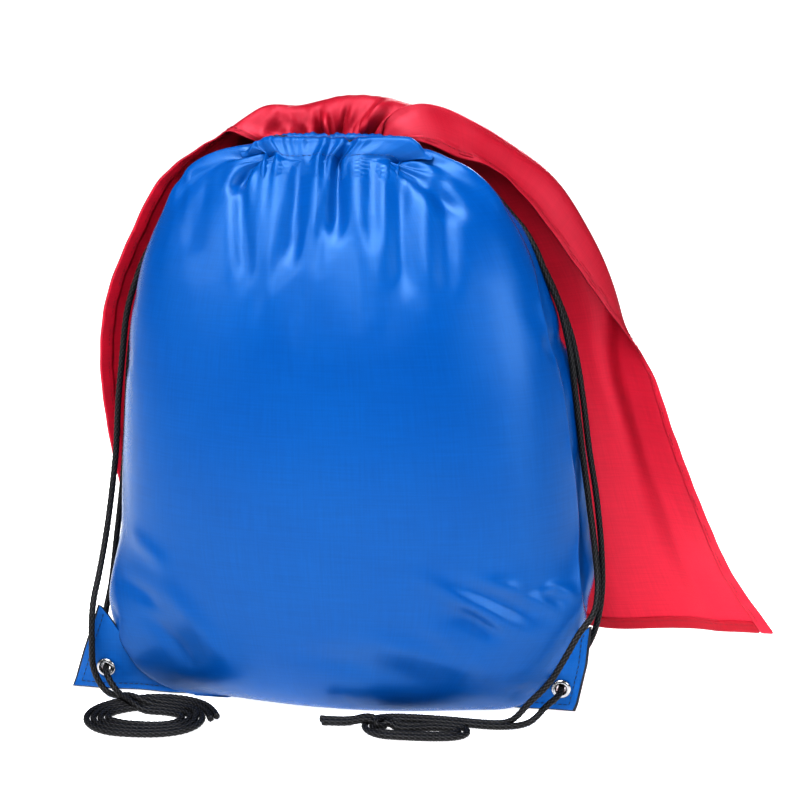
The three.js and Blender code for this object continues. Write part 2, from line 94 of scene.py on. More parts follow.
# The four free strands, from the casing's mouth to where each tail begins.
STRAPS = {
    "left_front": [
        (-51, -5.2, 365.3), (-57.5, -3.2, 362.4), (-66, 2, 359.2), (-75, 7.5, 356.8),
        (-85, 12, 353), (-98.5, 17.5, 344.2), (-109, 21, 332.8), (-119.5, 23, 318),
        (-129.8, 18.5, 304), (-139, 15.5, 288), (-147, 13, 268.5), (-153, 11.5, 248),
        (-157, 10, 219), (-160.5, 8, 189), (-162.5, 4, 155), (-164.5, -5, 124), (-166, -16, 99),
        (-167, -31, 77), (-167, -44, 64), (-166.5, -51.5, 50), (-166.5, -53.5, 34),
        (-166.5, -53.5, 22), (-164.5, -54.5, 13.5), (-158, -57, 8.5), (-149.5, -59.5, 5.2),
    ],
    "left_rear": [
        (-51, 15.2, 365.3), (-58, 15.5, 362.6), (-66, 15.8, 359), (-74, 17.7, 355),
        (-84, 21, 349.8), (-95.5, 24.5, 341), (-105.5, 27.3, 329.6), (-116, 28, 316.6),
        (-127, 24.5, 303.5), (-136, 21, 288.5), (-143.5, 18, 268), (-148.5, 15.5, 247),
        (-153, 13.5, 218), (-155.5, 12, 188), (-158, 10, 153), (-161, 6, 122), (-164, 0, 92),
        (-166.5, -8, 62), (-168.5, -18, 42), (-165.5, -29, 26), (-161.2, -38, 18.4),
        (-160, -46, 17), (-158.6, -53, 16.3), (-151, -59, 14.6), (-141, -63, 13),
    ],
    "right_front": [
        (30, -5.2, 360.3), (38, -3.6, 360.2), (46.5, 3, 359.4), (55, 12, 355.8), (65, 18.5, 350.2),
        (75, 22, 343.2), (86.5, 24, 335), (94.5, 25, 326.5), (102, 25, 318),
        (110.6, 20.5, 309), (118.8, 15.5, 297), (126, 12.5, 281), (134.8, 10.5, 262),
        (142.5, 8, 234), (147.6, 6, 201), (152.5, 3, 168), (158, -4, 136), (163.5, -15, 104),
        (166, -27, 84), (164, -39, 72), (155, -49.5, 61), (147, -55.5, 47), (139, -58.5, 33),
        (127, -60.5, 19), (113, -63.5, 8), (101, -65.5, 3.2),
    ],
    "right_rear": [
        (30, 15.2, 360.3), (37, 16.2, 360), (45, 20, 357), (54.5, 25.5, 351.4),
        (64.5, 29.5, 343.4), (76, 32, 332.8), (87.5, 33.5, 322), (96.5, 33, 312.6),
        (107.2, 28.8, 304.5), (117, 22.6, 295), (126.5, 18.5, 280), (135.5, 16, 261),
        (143, 14, 242), (148, 12.5, 222), (152, 11, 200), (157, 9, 167), (163, 4, 135),
        (167.5, -4, 100), (168.5, -12, 73), (164.5, -17.5, 50), (156, -21.5, 33),
        (147.5, -26, 20.5), (144.8, -32, 17.2), (144.5, -37, 17), (143.9, -42.5, 16.4),
        (140.5, -49, 14.4), (131, -57.5, 10.5), (118.5, -67, 6.6), (108.5, -70.6, 3.6),
    ],
}
PAIR_SPACING = CORD_D + 0.2  # between the two strands of a tail
COIL = {"x": -121, "y": -86, "half": 17, "turn": 0.1}
# The left tail's turns round its coil: turn reached, radius, height.
COIL_TURNS = [
    (0.0, 15, 9.5), (0.35, 15.5, 8), (0.8, 15.5, 7.4), (1.15, 19, 4), (1.5, 19.3, 2.6),
    (1.85, 19.4, 2.6), (2.15, 24, 2.6), (2.42, 27.6, 2.6),
]
# The right tail's hank: two runs, a third over them and an overhand knot.
HANK = [
    (94, -67, 3), (80, -65.5, 2.6), (62, -63.8, 2.6), (44, -63.6, 2.6), (31, -66, 2.8),
    (22.8, -73, 3), (23.5, -82.5, 2.8), (33, -87.6, 2.6), (48, -88.4, 2.6), (62, -87.6, 2.6),
    (76, -86, 3.2), (86.5, -82, 4.4), (88, -74.5, 7), (79, -69.8, 8.6), (63, -72.8, 8.4),
    (48, -77.4, 8), (37, -77, 9.6), (28, -71.5, 10.8), (23, -76, 8), (27.5, -84, 6.6),
    (34, -79, 12), (30, -72.5, 9), (19, -74.5, 5), (8, -75, 3), (-7, -74.4, 2.6),
]

# ---- the bag ----
FLAT_WIDTH = 355
FLAT_HEIGHT = 455
SEAM_Y = 5
SECTION_POWER = 2.35
# Level sections of the stuffed bag: height, left end, right end, front, back.
SECTIONS = [
    (0, -100, 107, -53, 55), (4, -116, 119, -57.5, 62), (14, -134, 129, -62.5, 69),
    (30, -147, 141, -66.5, 74), (60, -160, 159, -69, 78), (110, -157, 156, -70, 80),
    (170, -152.5, 149, -68, 78), (220, -148, 141, -62, 73), (260, -142, 130, -55, 65),
    (295, -133, 118, -46, 56), (320, -122, 105, -36, 46), (338, -108, 88, -27, 37),
    (349, -94, 69, -21.5, 30), (355, -78, 51, -18.4, 25), (356.3, -64, 41, -17.7, 22.5),
    (356.5, -58, 37, -17.5, 21),
]
BASE_SEAM_Y = 14
HELD_CORNER_Z = 62  # below this the side seams are held, where the corner flaps are sewn on
LOWEST_PANEL = 0.4  # keeps the settled cloth off the floor
CORNER_PULL = (50, 41)  # how far the cords pull the left and the right corner forward
PULL_TOP = 130
ACROSS = 96  # squares of cloth across a panel
UP = 112  # and up it
SEAM_PINCH = 5
CLOTH_FRAMES = 20
CLOTH_REACH = 11  # how far the cloth may move from its loft
BAG_CLOTH = {"pressure": 2.5, "stiffness": 15, "bend": 0.3}
CAPE_CLOTH = {"pressure": 0, "stiffness": 12, "bend": 0.25}
NECK_TAKE_UP = 0.42  # share of the cloth's width that the puckers take up
PUCKERS = {"depth": 3.2, "fade": 16}
BACK_FLUTES = {"depth": 0.8, "shift": 15}  # the front's, turned about and shifted
# Flutes that run down from the neck: line in x and in distance below the neck, half width, depth.
FLUTES = [
    ((-54, 0), (-72, 26), 4, 7), ((-66, 14), (-55, 88), 6.5, 4.5), ((-29, 4), (-27, 74), 8, 7),
    ((-3, 0), (-1, 54), 7, 9), ((18, 6), (22, 60), 6, 2.5), ((36, 18), (43, 92), 9, 5.5),
    ((30, 0), (80, 42), 5.5, 5.5), ((64, 30), (70, 92), 7, 2.5), ((-88, 22), (-98, 70), 9, 3),
]
# Wrinkles low on the front: ends in x and z, half width, depth (less than 0 stands out).
WRINKLES = [
    ((58, 100), (128, 54), 5, -2.6), ((76, 97), (132, 68), 5, 2.8), ((94, 98), (146, 72), 4, -3),
    ((74, 78), (104, 58), 4.5, 4), ((118, 90), (146, 78), 3.2, 3), ((128, 89), (154, 80), 2.6, -3.6),
    ((58, 70), (100, 34), 6, -1.8), ((-128, 60), (-96, 26), 6, 2.2), ((-118, 84), (-70, 30), 8, -2.2),
    ((-20, 44), (70, 26), 9, 2.2), ((20, 60), (112, 26), 7, -1.8), ((-146, 78), (-118, 66), 4, 2),
    ((-142, 110), (-110, 92), 6, -1.6),
]
SEAM_STRIP = {"z": (62, 90, 250, 300), "in": 13, "forward": 16, "out": 6.5}
PINCHED_Z = (60, 100, 300, 345)  # where the seams are pinched in, with soft ends
# Where the front's cloth is nearly smooth, to the right of the cleft in its puckers.
CALM_STRETCH = (-2, 5, 24, 30)
SEAM_STITCHES_Z = (66, 320)

# The cords' loops inside the casings: middle, half length, distance from the middle plane,
# how much further they bow out, and how far their turns reach past the ends.
NECK = {"x": -10.5, "y": SEAM_Y, "half": 40.3, "radius": 10, "bow": 2.5, "bow_half": 44.3, "turn": 8.6}
CORD_RUN = (-50.3, 29.3)  # where the cords run inside the casings
CASING = {"top": 369, "depth": 7, "front": (-67, 55), "back": CORD_RUN, "lip": 3, "end": 9}
CASING_FOOT = (-55.5, 34.5)  # as far as a casing's cloth rises from the panel
CASING_INNER_EDGE = 357.6
CASING_COLUMNS = 170
CREST = 7.0  # how far the front stands up in front of the cords at the shoulders
UPPER_RUN_Z = 365.3
LOWER_RUN_Z = 360.3
STITCH = 2.7  # length of a stitch, and the gap after it
STITCH_GAP = 0.9
STITCH_SIDES = 6
THREAD = 0.42
SEAM_THREAD = 0.9  # a seam's stitches and the ridge they pull up

# ---- the corners ----
EYELET = {"hole": 3.2, "flange": 6.5}
CORNERS = {
    "left": {
        "eyelet": (-160, 17),
        "outer": [(-162.5, 61), (-172, 34), (-181, 8), (-183.5, 2.2)],
        "inner": [(-160.5, 59), (-146, 38), (-135, 21.5), (-124, 12), (-112, 6), (-103, 2.2)],
    },
    "right": {
        "eyelet": (144.5, 17),
        "outer": [(161.5, 61), (159.5, 34), (154.5, 8), (152.5, 2.2)],
        "inner": [(159.5, 59), (141, 38), (129, 21.5), (121, 12), (114, 6), (107, 2.2)],
    },
}
BACKING_MARGIN = 1.6
STITCH_INSET = 4.2  # from the flap's edge
BASE_STITCHES_Z = 6

# ---- the cape ----
CAPE_WIDTH = 470  # of its flat cloth
CAPE_HEM = 10
CAPE_BOTTOM_HEM = 9
CAPE_ACROSS = 144  # squares of cloth across the cape
CAPE_DOWN = 136  # and down it
CAPE_LOWEST = 1.6
CAPE_CLEARANCE = 2  # from the bag's back
NARROWEST_CAPE = 60  # of the cloth's pattern at the neck
CAPE_COLUMNS = [0, 0.09, 0.24, 0.45, 0.64, 0.8, 0.945, 0.972, 1]
# The cape's rows from the neck, over its gathered roll and down to the floor. Each runs from
# the left edge to the right one, whose last two places fold forwards near the top.
CAPE_ROWS = [
    [(-54, 18, 360), (-40, 21, 361), (-26, 22.5, 362), (-10, 23, 362), (4, 22.5, 362),
     (14, 21.5, 363), (20, 20.5, 365), (26, 19.5, 367), (31, 19, 368)],
    [(-69, 16.5, 365), (-52, 21, 374), (-32, 21.5, 376), (-10, 22, 379), (6, 22, 380),
     (20, 21.5, 379), (30, 21, 374), (38, 20.5, 369), (43, 20.5, 364)],
    [(-81, 17.5, 369.5), (-62, 24, 384), (-36, 28, 385), (-9, 30, 391.5), (14, 30, 391),
     (32, 29, 386), (46, 27.5, 379), (50, 24, 370), (52, 21.5, 361)],
    [(-88, 21, 366), (-68, 33, 377), (-38, 41, 383), (-6, 43, 388), (20, 42, 388),
     (44, 39, 383), (61, 33, 375), (65, 27, 364), (66, 24.5, 354)],
    [(-99, 24, 360), (-76, 38, 364), (-42, 48, 369), (-4, 51, 372), (28, 50, 372),
     (56, 46, 370), (81, 36, 366.5), (80, 30.5, 357), (82, 27.5, 350)],
    [(-115, 25, 350), (-88, 43, 349), (-47, 55, 352), (-3, 58, 354), (36, 57, 354),
     (72, 52, 354), (98, 40, 356), (95, 34.5, 346), (95, 31, 343)],
    [(-134, 27, 333), (-104, 47, 328), (-58, 61, 327), (-2, 66, 327), (52, 64, 327),
     (94, 58, 329), (126, 46, 334), (119, 39, 324), (116, 34.5, 321)],
    [(-153, 29, 300), (-122, 52, 297), (-70, 69, 296), (-1, 74, 296), (64, 72, 296),
     (112, 65, 297), (152, 52, 298), (146, 45, 289), (142, 42, 285)],
    [(-174, 35, 256), (-142, 61, 255), (-82, 80, 254), (0, 84, 254), (78, 82, 254),
     (132, 75, 255), (172, 58, 258), (170, 53, 254), (166, 50, 251)],
    [(-184, 43, 210), (-152, 70, 209), (-88, 88, 208), (4, 92, 208), (90, 90, 208),
     (146, 84, 208), (182, 71, 210), (191, 66.5, 210), (195, 65, 210)],
    [(-185, 53, 160), (-154, 79, 160), (-90, 95, 160), (6, 99, 160), (98, 97, 160),
     (158, 93, 160), (197, 83, 160), (207, 78.5, 160), (214, 76, 160)],
    [(-179, 65, 100), (-146, 88, 100), (-84, 99, 100), (14, 103, 100), (106, 102, 100),
     (172, 100, 100), (219, 93, 100), (230, 89.5, 100), (238, 87.5, 100)],
    [(-169, 78, 50), (-136, 94, 50), (-74, 102, 50), (22, 106, 50), (114, 106, 50),
     (186, 105, 50), (240, 103, 50), (251, 102, 50), (261, 101, 50)],
    [(-157, 91, 1.6), (-118, 100, 1.6), (-52, 105, 1.6), (43, 108, 1.6), (130, 109, 1.6),
     (203, 110.5, 1.6), (269, 111, 1.6), (281, 111, 1.6), (294, 111, 1.6)],
]
# Valleys in the front of the gathered roll: line in x and z, half width, depth.
ROLL_VALLEYS = [
    ((-14, 356), (-19, 380), 3, 12), ((-6, 358), (22, 390), 4, 9), ((-44, 356), (-40, 372), 4.4, 7),
    ((-29, 356), (-27, 372), 4, 7), ((-74, 368), (-40, 360), 3.6, 6), ((6, 358), (44, 372), 3.8, 6),
    ((-62, 366), (-50, 384), 3.6, 3.6), ((-9, 366), (-4, 386), 2.2, -5), ((-20, 362), (-24, 386), 3.2, -4),
    ((14, 362), (40, 384), 5, -4), ((-36, 364), (-34, 384), 5, -3), ((30, 366), (66, 374), 3.4, 5),
]

# ---- cloths and threads ----
# Colour, darker shade, roughness, thread spacing in mm, streaks, bump, gloss and gloss tint.
CAPE_FINISH = (0.33, 0.5, 0.09, 0.5, 0.8, (1, 0.3, 0.38))
CLOTHS = {
    "bag_polyester": (
        (0.0, 0.062, 0.225), (0.0, 0.052, 0.2), 0.2, 0.6, 0.06, 0.35, 0.55, (0.36, 0.54, 0.8)),
    "corner_polyester": (
        (0.0, 0.07, 0.25), (0.0, 0.058, 0.22), 0.33, 0.5, 0.09, 0.5, 0.8, (0.2, 0.5, 1)),
    "black_backing": (
        (0.012, 0.012, 0.016), (0.016, 0.016, 0.02), 0.6, 0.6, 0.1, 0.5, 0.5, (1, 1, 1)),
    "cape_polyester": ((0.25, 0.009, 0.023), (0.21, 0.007, 0.018), *CAPE_FINISH),
    # The cape's inner side is the same red cloth, painted brighter as light shining through it and onto
    # its shaded inside.
    "cape_inner_painted_backlight_polyester": ((0.47, 0.015, 0.04), (0.41, 0.012, 0.033), *CAPE_FINISH),
    "cape_hem_polyester": ((0.30, 0.003, 0.014), (0.26, 0.003, 0.012), *CAPE_FINISH),
}
# Threads' colours. The seams' thread is partly real stitching and partly painted shade, darkened to stand
# in for the groove along each seam.
THREADS = {
    "seam_thread_and_groove_shade": (0.0, 0.008, 0.05), "casing_thread": (0.0, 0.035, 0.15),
    "corner_thread": (0.006, 0.006, 0.01), "cape_thread": (0.16, 0.001, 0.01),
}
# The braided cord's colours: painted shade for the gaps between its strands, and a painted glint for their
# crowns.
CORD_GAP_SHADE_AND_CROWN_GLINT = ((0.0006, 0.0006, 0.0008), (0.05, 0.05, 0.056))


# ---- curves and meshes ----
def spline(knots, values, at):
    """A smooth curve through values at the knots, read off at the given places."""
    knots, values, at = (np.asarray(x, float) for x in (knots, values, at))
    upright = (-1, *[1] * (values.ndim - 1))
    gaps = np.diff(knots)
    slopes = np.diff(values, axis=0) / gaps.reshape(upright)
    tangents = np.concatenate([slopes[:1], slopes, slopes[-1:]])
    before, after = np.r_[gaps[:1], gaps], np.r_[gaps, gaps[-1:]]
    share = (before / (before + after)).reshape(upright)
    tangents = tangents[:-1] * (1 - share) + tangents[1:] * share
    k = np.clip(np.searchsorted(knots, at, side="right") - 1, 0, len(gaps) - 1)
    t, gap = ((at - knots[k]) / gaps[k]).reshape(upright), gaps[k].reshape(upright)
    return (
        values[k] * (2 * t**3 - 3 * t**2 + 1) + tangents[k] * gap * (t**3 - 2 * t**2 + t)
        + values[k + 1] * (3 * t**2 - 2 * t**3) + tangents[k + 1] * gap * (t**3 - t**2)
    )


def along(points):
    """How far along a line each of its points is."""
    return np.r_[0, np.cumsum(np.linalg.norm(np.diff(points, axis=0), axis=1))]


def read_off(at, places, points):
    """A line whose points have the given places, read off at other places."""
    return np.stack([np.interp(at, places, points[:, k]) for k in range(points.shape[1])], axis=1)


def spread(points, count):
    """The same line as that many points, evenly spaced."""
    travelled = along(points)
    return read_off(np.linspace(0, travelled[-1], count), travelled, points)


def even(points, step):
    """The same line as points about one step apart."""
    return spread(points, max(2, round(along(points)[-1] / step) + 1))


def smoothstep(x, low, high):
    t = np.clip((np.asarray(x, float) - low) / (high - low), 0, 1)
    return t * t * (3 - 2 * t)


def plateau(x, low, full, fade, high):
    """0 below low and above high, and 1 from full to fade."""
    return smoothstep(x, low, full) * (1 - smoothstep(x, fade, high))


def bell(x, half):
    """1 at 0, and less than 0.4 beyond half."""
    return np.exp(-((x / half) ** 2))


def crease(x, y, start, end):
    """How far places lie along a line, as a share of it, and how far beside it."""
    run = np.array(end, float) - start
    x, y = x - start[0], y - start[1]
    return (x * run[0] + y * run[1]) / (run @ run), (x * run[1] - y * run[0]) / math.hypot(*run)


def curve(points, step):
    """A smooth line through the points, as points about one step apart."""
    points = np.asarray(points, float)
    knots = np.r_[0, np.cumsum(np.sqrt(np.linalg.norm(np.diff(points, axis=0), axis=1)))]
    fine = spline(knots, points, np.linspace(0, knots[-1], 20 * len(points)))
    return even(fine, step)


def make_mesh(name, points, faces, uv=None, smooth=True):
    """A mesh object from points in millimetres."""
    mesh = bpy.data.meshes.new(name)
    mesh.from_pydata((np.asarray(points) * MM).tolist(), [], [list(f) for f in faces])
    if uv is not None:
        layer = mesh.uv_layers.new(name="UVMap")
        loops = np.empty(len(mesh.loops), int)
        mesh.loops.foreach_get("vertex_index", loops)
        layer.data.foreach_set("uv", np.asarray(uv, float)[loops].ravel())
    mesh.polygons.foreach_set("use_smooth", [smooth] * len(mesh.polygons))
    mesh.update()
    thing = bpy.data.objects.new(name, mesh)
    bpy.context.scene.collection.objects.link(thing)
    return thing


def grid_faces(rows, columns, closed=False, start=0):
    """Faces of a grid of points, which may close round its columns."""
    faces = []
    for i in range(rows - 1):
        for j in range(columns if closed else columns - 1):
            right = (j + 1) % columns
            faces.append([
                start + i * columns + j, start + i * columns + right,
                start + (i + 1) * columns + right, start + (i + 1) * columns + j,
            ])
    return faces


def on_bag(piece, *nodes):
    """The piece rides on the bag, and stands for those CAD nodes."""
    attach(piece, "bag")
    if nodes:
        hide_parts(*nodes)


# ---- materials ----
def set_inputs(tree, node, inputs):
    """Sets a node's inputs to values, or links them to other nodes' sockets."""
    for key, value in inputs.items():
        if isinstance(value, bpy.types.NodeSocket):
            tree.links.new(value, node.inputs[key])
        else:
            node.inputs[key].default_value = value


def add_node(tree, kind, inputs, output=0, **settings):
    """One output of a new node."""
    node = tree.nodes.new(f"ShaderNode{kind}")
    for key, value in settings.items():
        setattr(node, key, value)
    set_inputs(tree, node, inputs)
    return node.outputs[output]


def noise(tree, place, scale, detail=2.0):
    return add_node(tree, "TexNoise", {"Vector": place, "Scale": scale, "Detail": detail}, "Fac")


def ranged(tree, value, low, high, start=0.0, end=1.0):
    """The value's range from low to high, turned into one from start to end."""
    return add_node(
        tree, "MapRange",
        {"Value": value, "From Min": low, "From Max": high, "To Min": start, "To Max": end})


def mixed(tree, share, first, second):
    return add_node(
        tree, "Mix", {"Factor": share, 6: (*first, 1), 7: (*second, 1)}, 2, data_type="RGBA")


def bumped(tree, height, strength, distance):
    return add_node(
        tree, "Bump", {"Strength": strength, "Distance": distance, "Height": height}, "Normal")


def new_material(name, color, roughness, level=0.5, gloss=(1, 1, 1)):
    """A material, its nodes and its shader. level and gloss are its reflections' strength and tint."""
    material = bpy.data.materials.new(name)
    material.use_nodes = True
    tree = material.node_tree
    shader = tree.nodes["Principled BSDF"]
    set_inputs(tree, shader, {
        "Base Color": (*color, 1), "Roughness": roughness, "Specular IOR Level": level,
        "Specular Tint": (*gloss, 1)})
    return material, tree, shader


def weave_material(name):
    """Woven cloth whose threads follow its flat pattern, which its UVs hold in metres."""
    color, shade, roughness, thread, streak, depth, level, gloss = CLOTHS[name]
    material, tree, shader = new_material(name, color, roughness, level, gloss)
    place = add_node(tree, "UVMap", {}, uv_map="UVMap")
    waves = [
        add_node(
            tree, "TexWave",
            {"Vector": place, "Scale": math.pi / 10 / (thread * MM), "Distortion": 0.4, "Detail": 1.0},
            "Fac", bands_direction=direction) for direction in "XY"]
    woven = add_node(tree, "Math", dict(enumerate(waves)), operation="MULTIPLY")
    streaks = [
        noise(tree, add_node(tree, "Mapping", {"Vector": place, "Scale": stretch}), 1.0)
        for stretch in ((30, 800, 1), (800, 30, 1))]
    yarn = add_node(tree, "Math", dict(enumerate(streaks)), operation="ADD")
    cloud = ranged(tree, noise(tree, place, 14.0), 0.35, 0.7, 0.0, 0.5)
    toned = add_node(tree, "VectorMath", {
        0: mixed(tree, cloud, color, shade),
        "Scale": ranged(tree, yarn, 0.7, 1.3, 1 - streak, 1 + streak)}, operation="SCALE")
    height = add_node(tree, "Math", {0: yarn, 1: 0.5, 2: woven}, operation="MULTIPLY_ADD")
    set_inputs(tree, shader, {
        "Base Color": toned, "Normal": bumped(tree, height, depth, 0.00012)})
    return material


def cord_material():
    """Black braided cord, with painted shade in the gaps between its strands and a painted glint on their
    crowns.
    """
    material, tree, shader = new_material("braided_cord", (0.0035, 0.0035, 0.005), 0.5, 0.22)
    fibre = noise(tree, add_node(tree, "TexCoord", {}, "Object"), 2600.0)
    braid_shade_and_glint = add_node(tree, "Attribute", {}, "Fac", attribute_name="braid_shade_and_glint")
    set_inputs(tree, shader, {
        "Base Color": mixed(tree, ranged(tree, braid_shade_and_glint, 0.45, 1.0), *CORD_GAP_SHADE_AND_CROWN_GLINT),
        "Roughness": ranged(tree, fibre, 0.3, 0.75, 0.45, 0.72),
        "Normal": bumped(tree, fibre, 0.5, 0.0002)})
    return material


def thread_material(name):
    material, tree, shader = new_material(name, THREADS[name], 0.6)
    twist = noise(tree, add_node(tree, "TexCoord", {}, "Object"), 3000.0)
    set_inputs(tree, shader, {"Normal": bumped(tree, twist, 0.4, 0.0001)})
    return material


def metal_material():
    material, tree, shader = new_material("nickel_plate", (0.34, 0.34, 0.35), 0.25)
    scuffs = noise(tree, add_node(tree, "TexCoord", {}, "Object"), 900.0, 4.0)
    set_inputs(tree, shader, {
        "Metallic": 1, "Roughness": ranged(tree, scuffs, 0.4, 0.8, 0.16, 0.4)})
    return material


# ---- stitches ----
def stitch_line(name, path, facing, material, lift, thread=THREAD):
    """One row of stitches along a path, each a slim bead lying on the cloth that faces that way."""
    travelled = along(path)
    count = max(1, int(travelled[-1] / (STITCH + STITCH_GAP)))
    places = (np.arange(count) + 0.5) * travelled[-1] / count
    at = read_off(places, travelled, path)
    ahead = read_off(places, travelled, np.gradient(path, axis=0))
    out = read_off(places, travelled, np.broadcast_to(facing, path.shape))
    ahead /= np.linalg.norm(ahead, axis=1)[:, None]
    out -= ahead * (out * ahead).sum(1)[:, None]
    out /= np.linalg.norm(out, axis=1)[:, None]
    across = np.cross(ahead, out)
    lengths = np.array([-0.5, -0.38, 0, 0.38, 0.5])[:, None, None] * STITCH
    widths = np.array([0.25, 0.8, 1, 0.8, 0.25])[:, None, None] * thread / 2
    angle = (np.arange(STITCH_SIDES) * 2 * math.pi / STITCH_SIDES)[:, None]
    at, ahead, out, across = (v[:, None, None] for v in (at, ahead, out, across))
    points = (
        at + ahead * lengths + across * widths * np.cos(angle)
        + out * (lift + widths * np.sin(angle))).reshape(-1, 3)
    faces = []
    for start in range(0, len(points), len(lengths) * STITCH_SIDES):
        faces += grid_faces(len(lengths), STITCH_SIDES, closed=True, start=start)
        last = start + (len(lengths) - 1) * STITCH_SIDES
        faces.append(list(range(start, start + STITCH_SIDES)))
        faces.append([last + i for i in reversed(range(STITCH_SIDES))])
    line = make_mesh(name, points, faces)
    line.data.materials.append(material)
    return line


# ---- cords ----
def side_by_side(centre, spacing):
    """Two lines that run beside a line, level with it."""
    ahead = np.gradient(centre, axis=0)
    across = np.stack([-ahead[:, 1], ahead[:, 0], np.zeros(len(ahead))], axis=1)
    across /= np.linalg.norm(across, axis=1)[:, None] + 1e-9
    return centre + across * spacing / 2, centre - across * spacing / 2


def coil_centre():
    """The middle of the left tail's pair of strands, round an oval coil."""
    turns, radii, heights = (np.array(x, float) for x in zip(*COIL_TURNS))
    centre = []
    for turn in np.arange(0, turns[-1], 0.02):
        radius, height = spline(turns, np.stack([radii, heights], 1), [turn])[0]
        share = turn % 1
        half = COIL["half"]
        if share < 0.3:
            x, y = half * (share / 0.15 - 1), radius
        elif share < 0.5:
            angle = math.pi * (share - 0.3) / 0.2
            x, y = half + radius * math.sin(angle), radius * math.cos(angle)
        elif share < 0.8:
            x, y = half * (1 - (share - 0.5) / 0.15), -radius
        else:
            angle = math.pi * (share - 0.8) / 0.2
            x, y = -half - radius * math.sin(angle), -radius * math.cos(angle)
        c, s = math.cos(COIL["turn"]), math.sin(COIL["turn"])
        centre.append((COIL["x"] + c * x - s * y, COIL["y"] + s * x + c * y, height))
    return even(np.array(centre), TAIL_STEP)


def settle(strands):
    """Strands that lie in each other push apart and come to rest on the floor and on each other."""
    place = np.concatenate(strands)
    start = place.copy()
    strand = np.concatenate([[k] * len(s) for k, s in enumerate(strands)])
    order = np.concatenate([np.arange(len(s)) for s in strands])
    step = np.linalg.norm(strands[0][1] - strands[0][0])
    freedom = np.clip((order - SETTLE["fixed"]) / SETTLE["ramp"], 0, 1)[:, None]
    same = (strand[:, None] == strand) & (np.abs(order[:, None] - order) < 3.2 * CORD_D / step)
    joined = np.flatnonzero(strand[1:] == strand[:-1])
    wanted = np.linalg.norm(start[joined + 1] - start[joined], axis=1)
    inner = np.flatnonzero(strand[2:] == strand[:-2]) + 1
    room = CORD_D + SETTLE["slack"]
    for _ in range(SETTLE["rounds"]):
        before = place.copy()
        place[:, 2] -= SETTLE["drop"]
        bend = (place[inner - 1] + place[inner + 1]) / 2 - place[inner]
        place[inner] += SETTLE["straighten"] * bend
        for part in (joined[::2], joined[1::2]):
            gap = place[part + 1] - place[part]
            length = np.linalg.norm(gap, axis=1)
            fix = (gap * (1 - wanted[np.searchsorted(joined, part)] / length)[:, None]) / 2
            place[part] += fix
            place[part + 1] -= fix
        for _ in range(3):
            apart = place[:, None] - place
            distance = np.linalg.norm(apart, axis=2) + 1e-9
            push = np.where((distance < room) & ~same, (room - distance) / distance, 0)
            move = 0.5 * (push[:, :, None] * apart).sum(axis=1)
            place += move / np.maximum(1, 0.5 * (push > 0).sum(axis=1))[:, None]
            place[:, 2] = np.maximum(place[:, 2], LYING_Z)
        place = before + (place - before) * freedom
    return [place[strand == k] for k in range(len(strands))]


def moving_frames(path):
    """Two directions across the path at each point, which don't twist along it."""
    ahead = np.gradient(path, axis=0)
    ahead /= np.linalg.norm(ahead, axis=1)[:, None]
    first = np.cross(ahead[0], (0, 0, 1) if abs(ahead[0][2]) < 0.9 else (1, 0, 0))
    side = [first / np.linalg.norm(first)]
    for k in range(1, len(path)):
        turned = side[-1] - ahead[k] * (side[-1] @ ahead[k])
        side.append(turned / np.linalg.norm(turned))
    side = np.array(side)
    return side, np.cross(ahead, side)


def braided_tube(name, path, material, sealed=True):
    """A round braided cord along the path, with a slightly swollen tip if its end is sealed."""
    path = even(np.asarray(path, float), TUBE_STEP)
    side, up = moving_frames(path)
    travelled = along(path)
    angle = np.arange(TUBE_SIDES) * 2 * math.pi / TUBE_SIDES
    spin = BRAID_CELLS / 2 * angle
    advance = (math.pi * travelled / BRAID_PITCH)[:, None]
    cells = np.abs(np.cos(spin + advance) * np.cos(spin - advance)) ** 0.6
    radius = CORD_D / 2 - BRAID_DEPTH * (1 - cells)
    if sealed:
        tip = (travelled[-1] - travelled)[:, None]
        radius *= 1 + 0.1 * np.exp(-((tip - 1.5) / 1.5) ** 2)
    ring = (
        path[:, None] + (radius * np.cos(angle))[:, :, None] * side[:, None]
        + (radius * np.sin(angle))[:, :, None] * up[:, None]
    )
    points = ring.reshape(-1, 3)
    faces = grid_faces(len(path), TUBE_SIDES, closed=True)
    uv = np.stack([
        np.repeat(travelled / CORD_D, TUBE_SIDES), np.tile(angle / (2 * math.pi), len(path))], 1)
    caps = []
    for row, out in ((0, -1), (len(path) - 1, 1)):
        ahead = np.cross(side[row], up[row]) * out
        caps.append(path[row] + ahead * 0.5)
        middle = len(points) + len(caps) - 1
        for k in range(TUBE_SIDES):
            a, b = row * TUBE_SIDES + k, row * TUBE_SIDES + (k + 1) % TUBE_SIDES
            faces.append([middle, b, a] if out < 0 else [middle, a, b])
    uv = np.concatenate([uv, [[0, 0]] * 2])
    tube = make_mesh(name, np.concatenate([points, caps]), faces, uv)
    # The braided surface's cells also paint shade into the gaps between strands and a glint onto their
    # crowns.
    braid_shade_and_glint = tube.data.attributes.new("braid_shade_and_glint", "FLOAT", "POINT")
    braid_shade_and_glint.data.foreach_set("value", np.r_[cells.ravel(), 0.5, 0.5])
    tube.data.materials.append(material)
    return tube, path


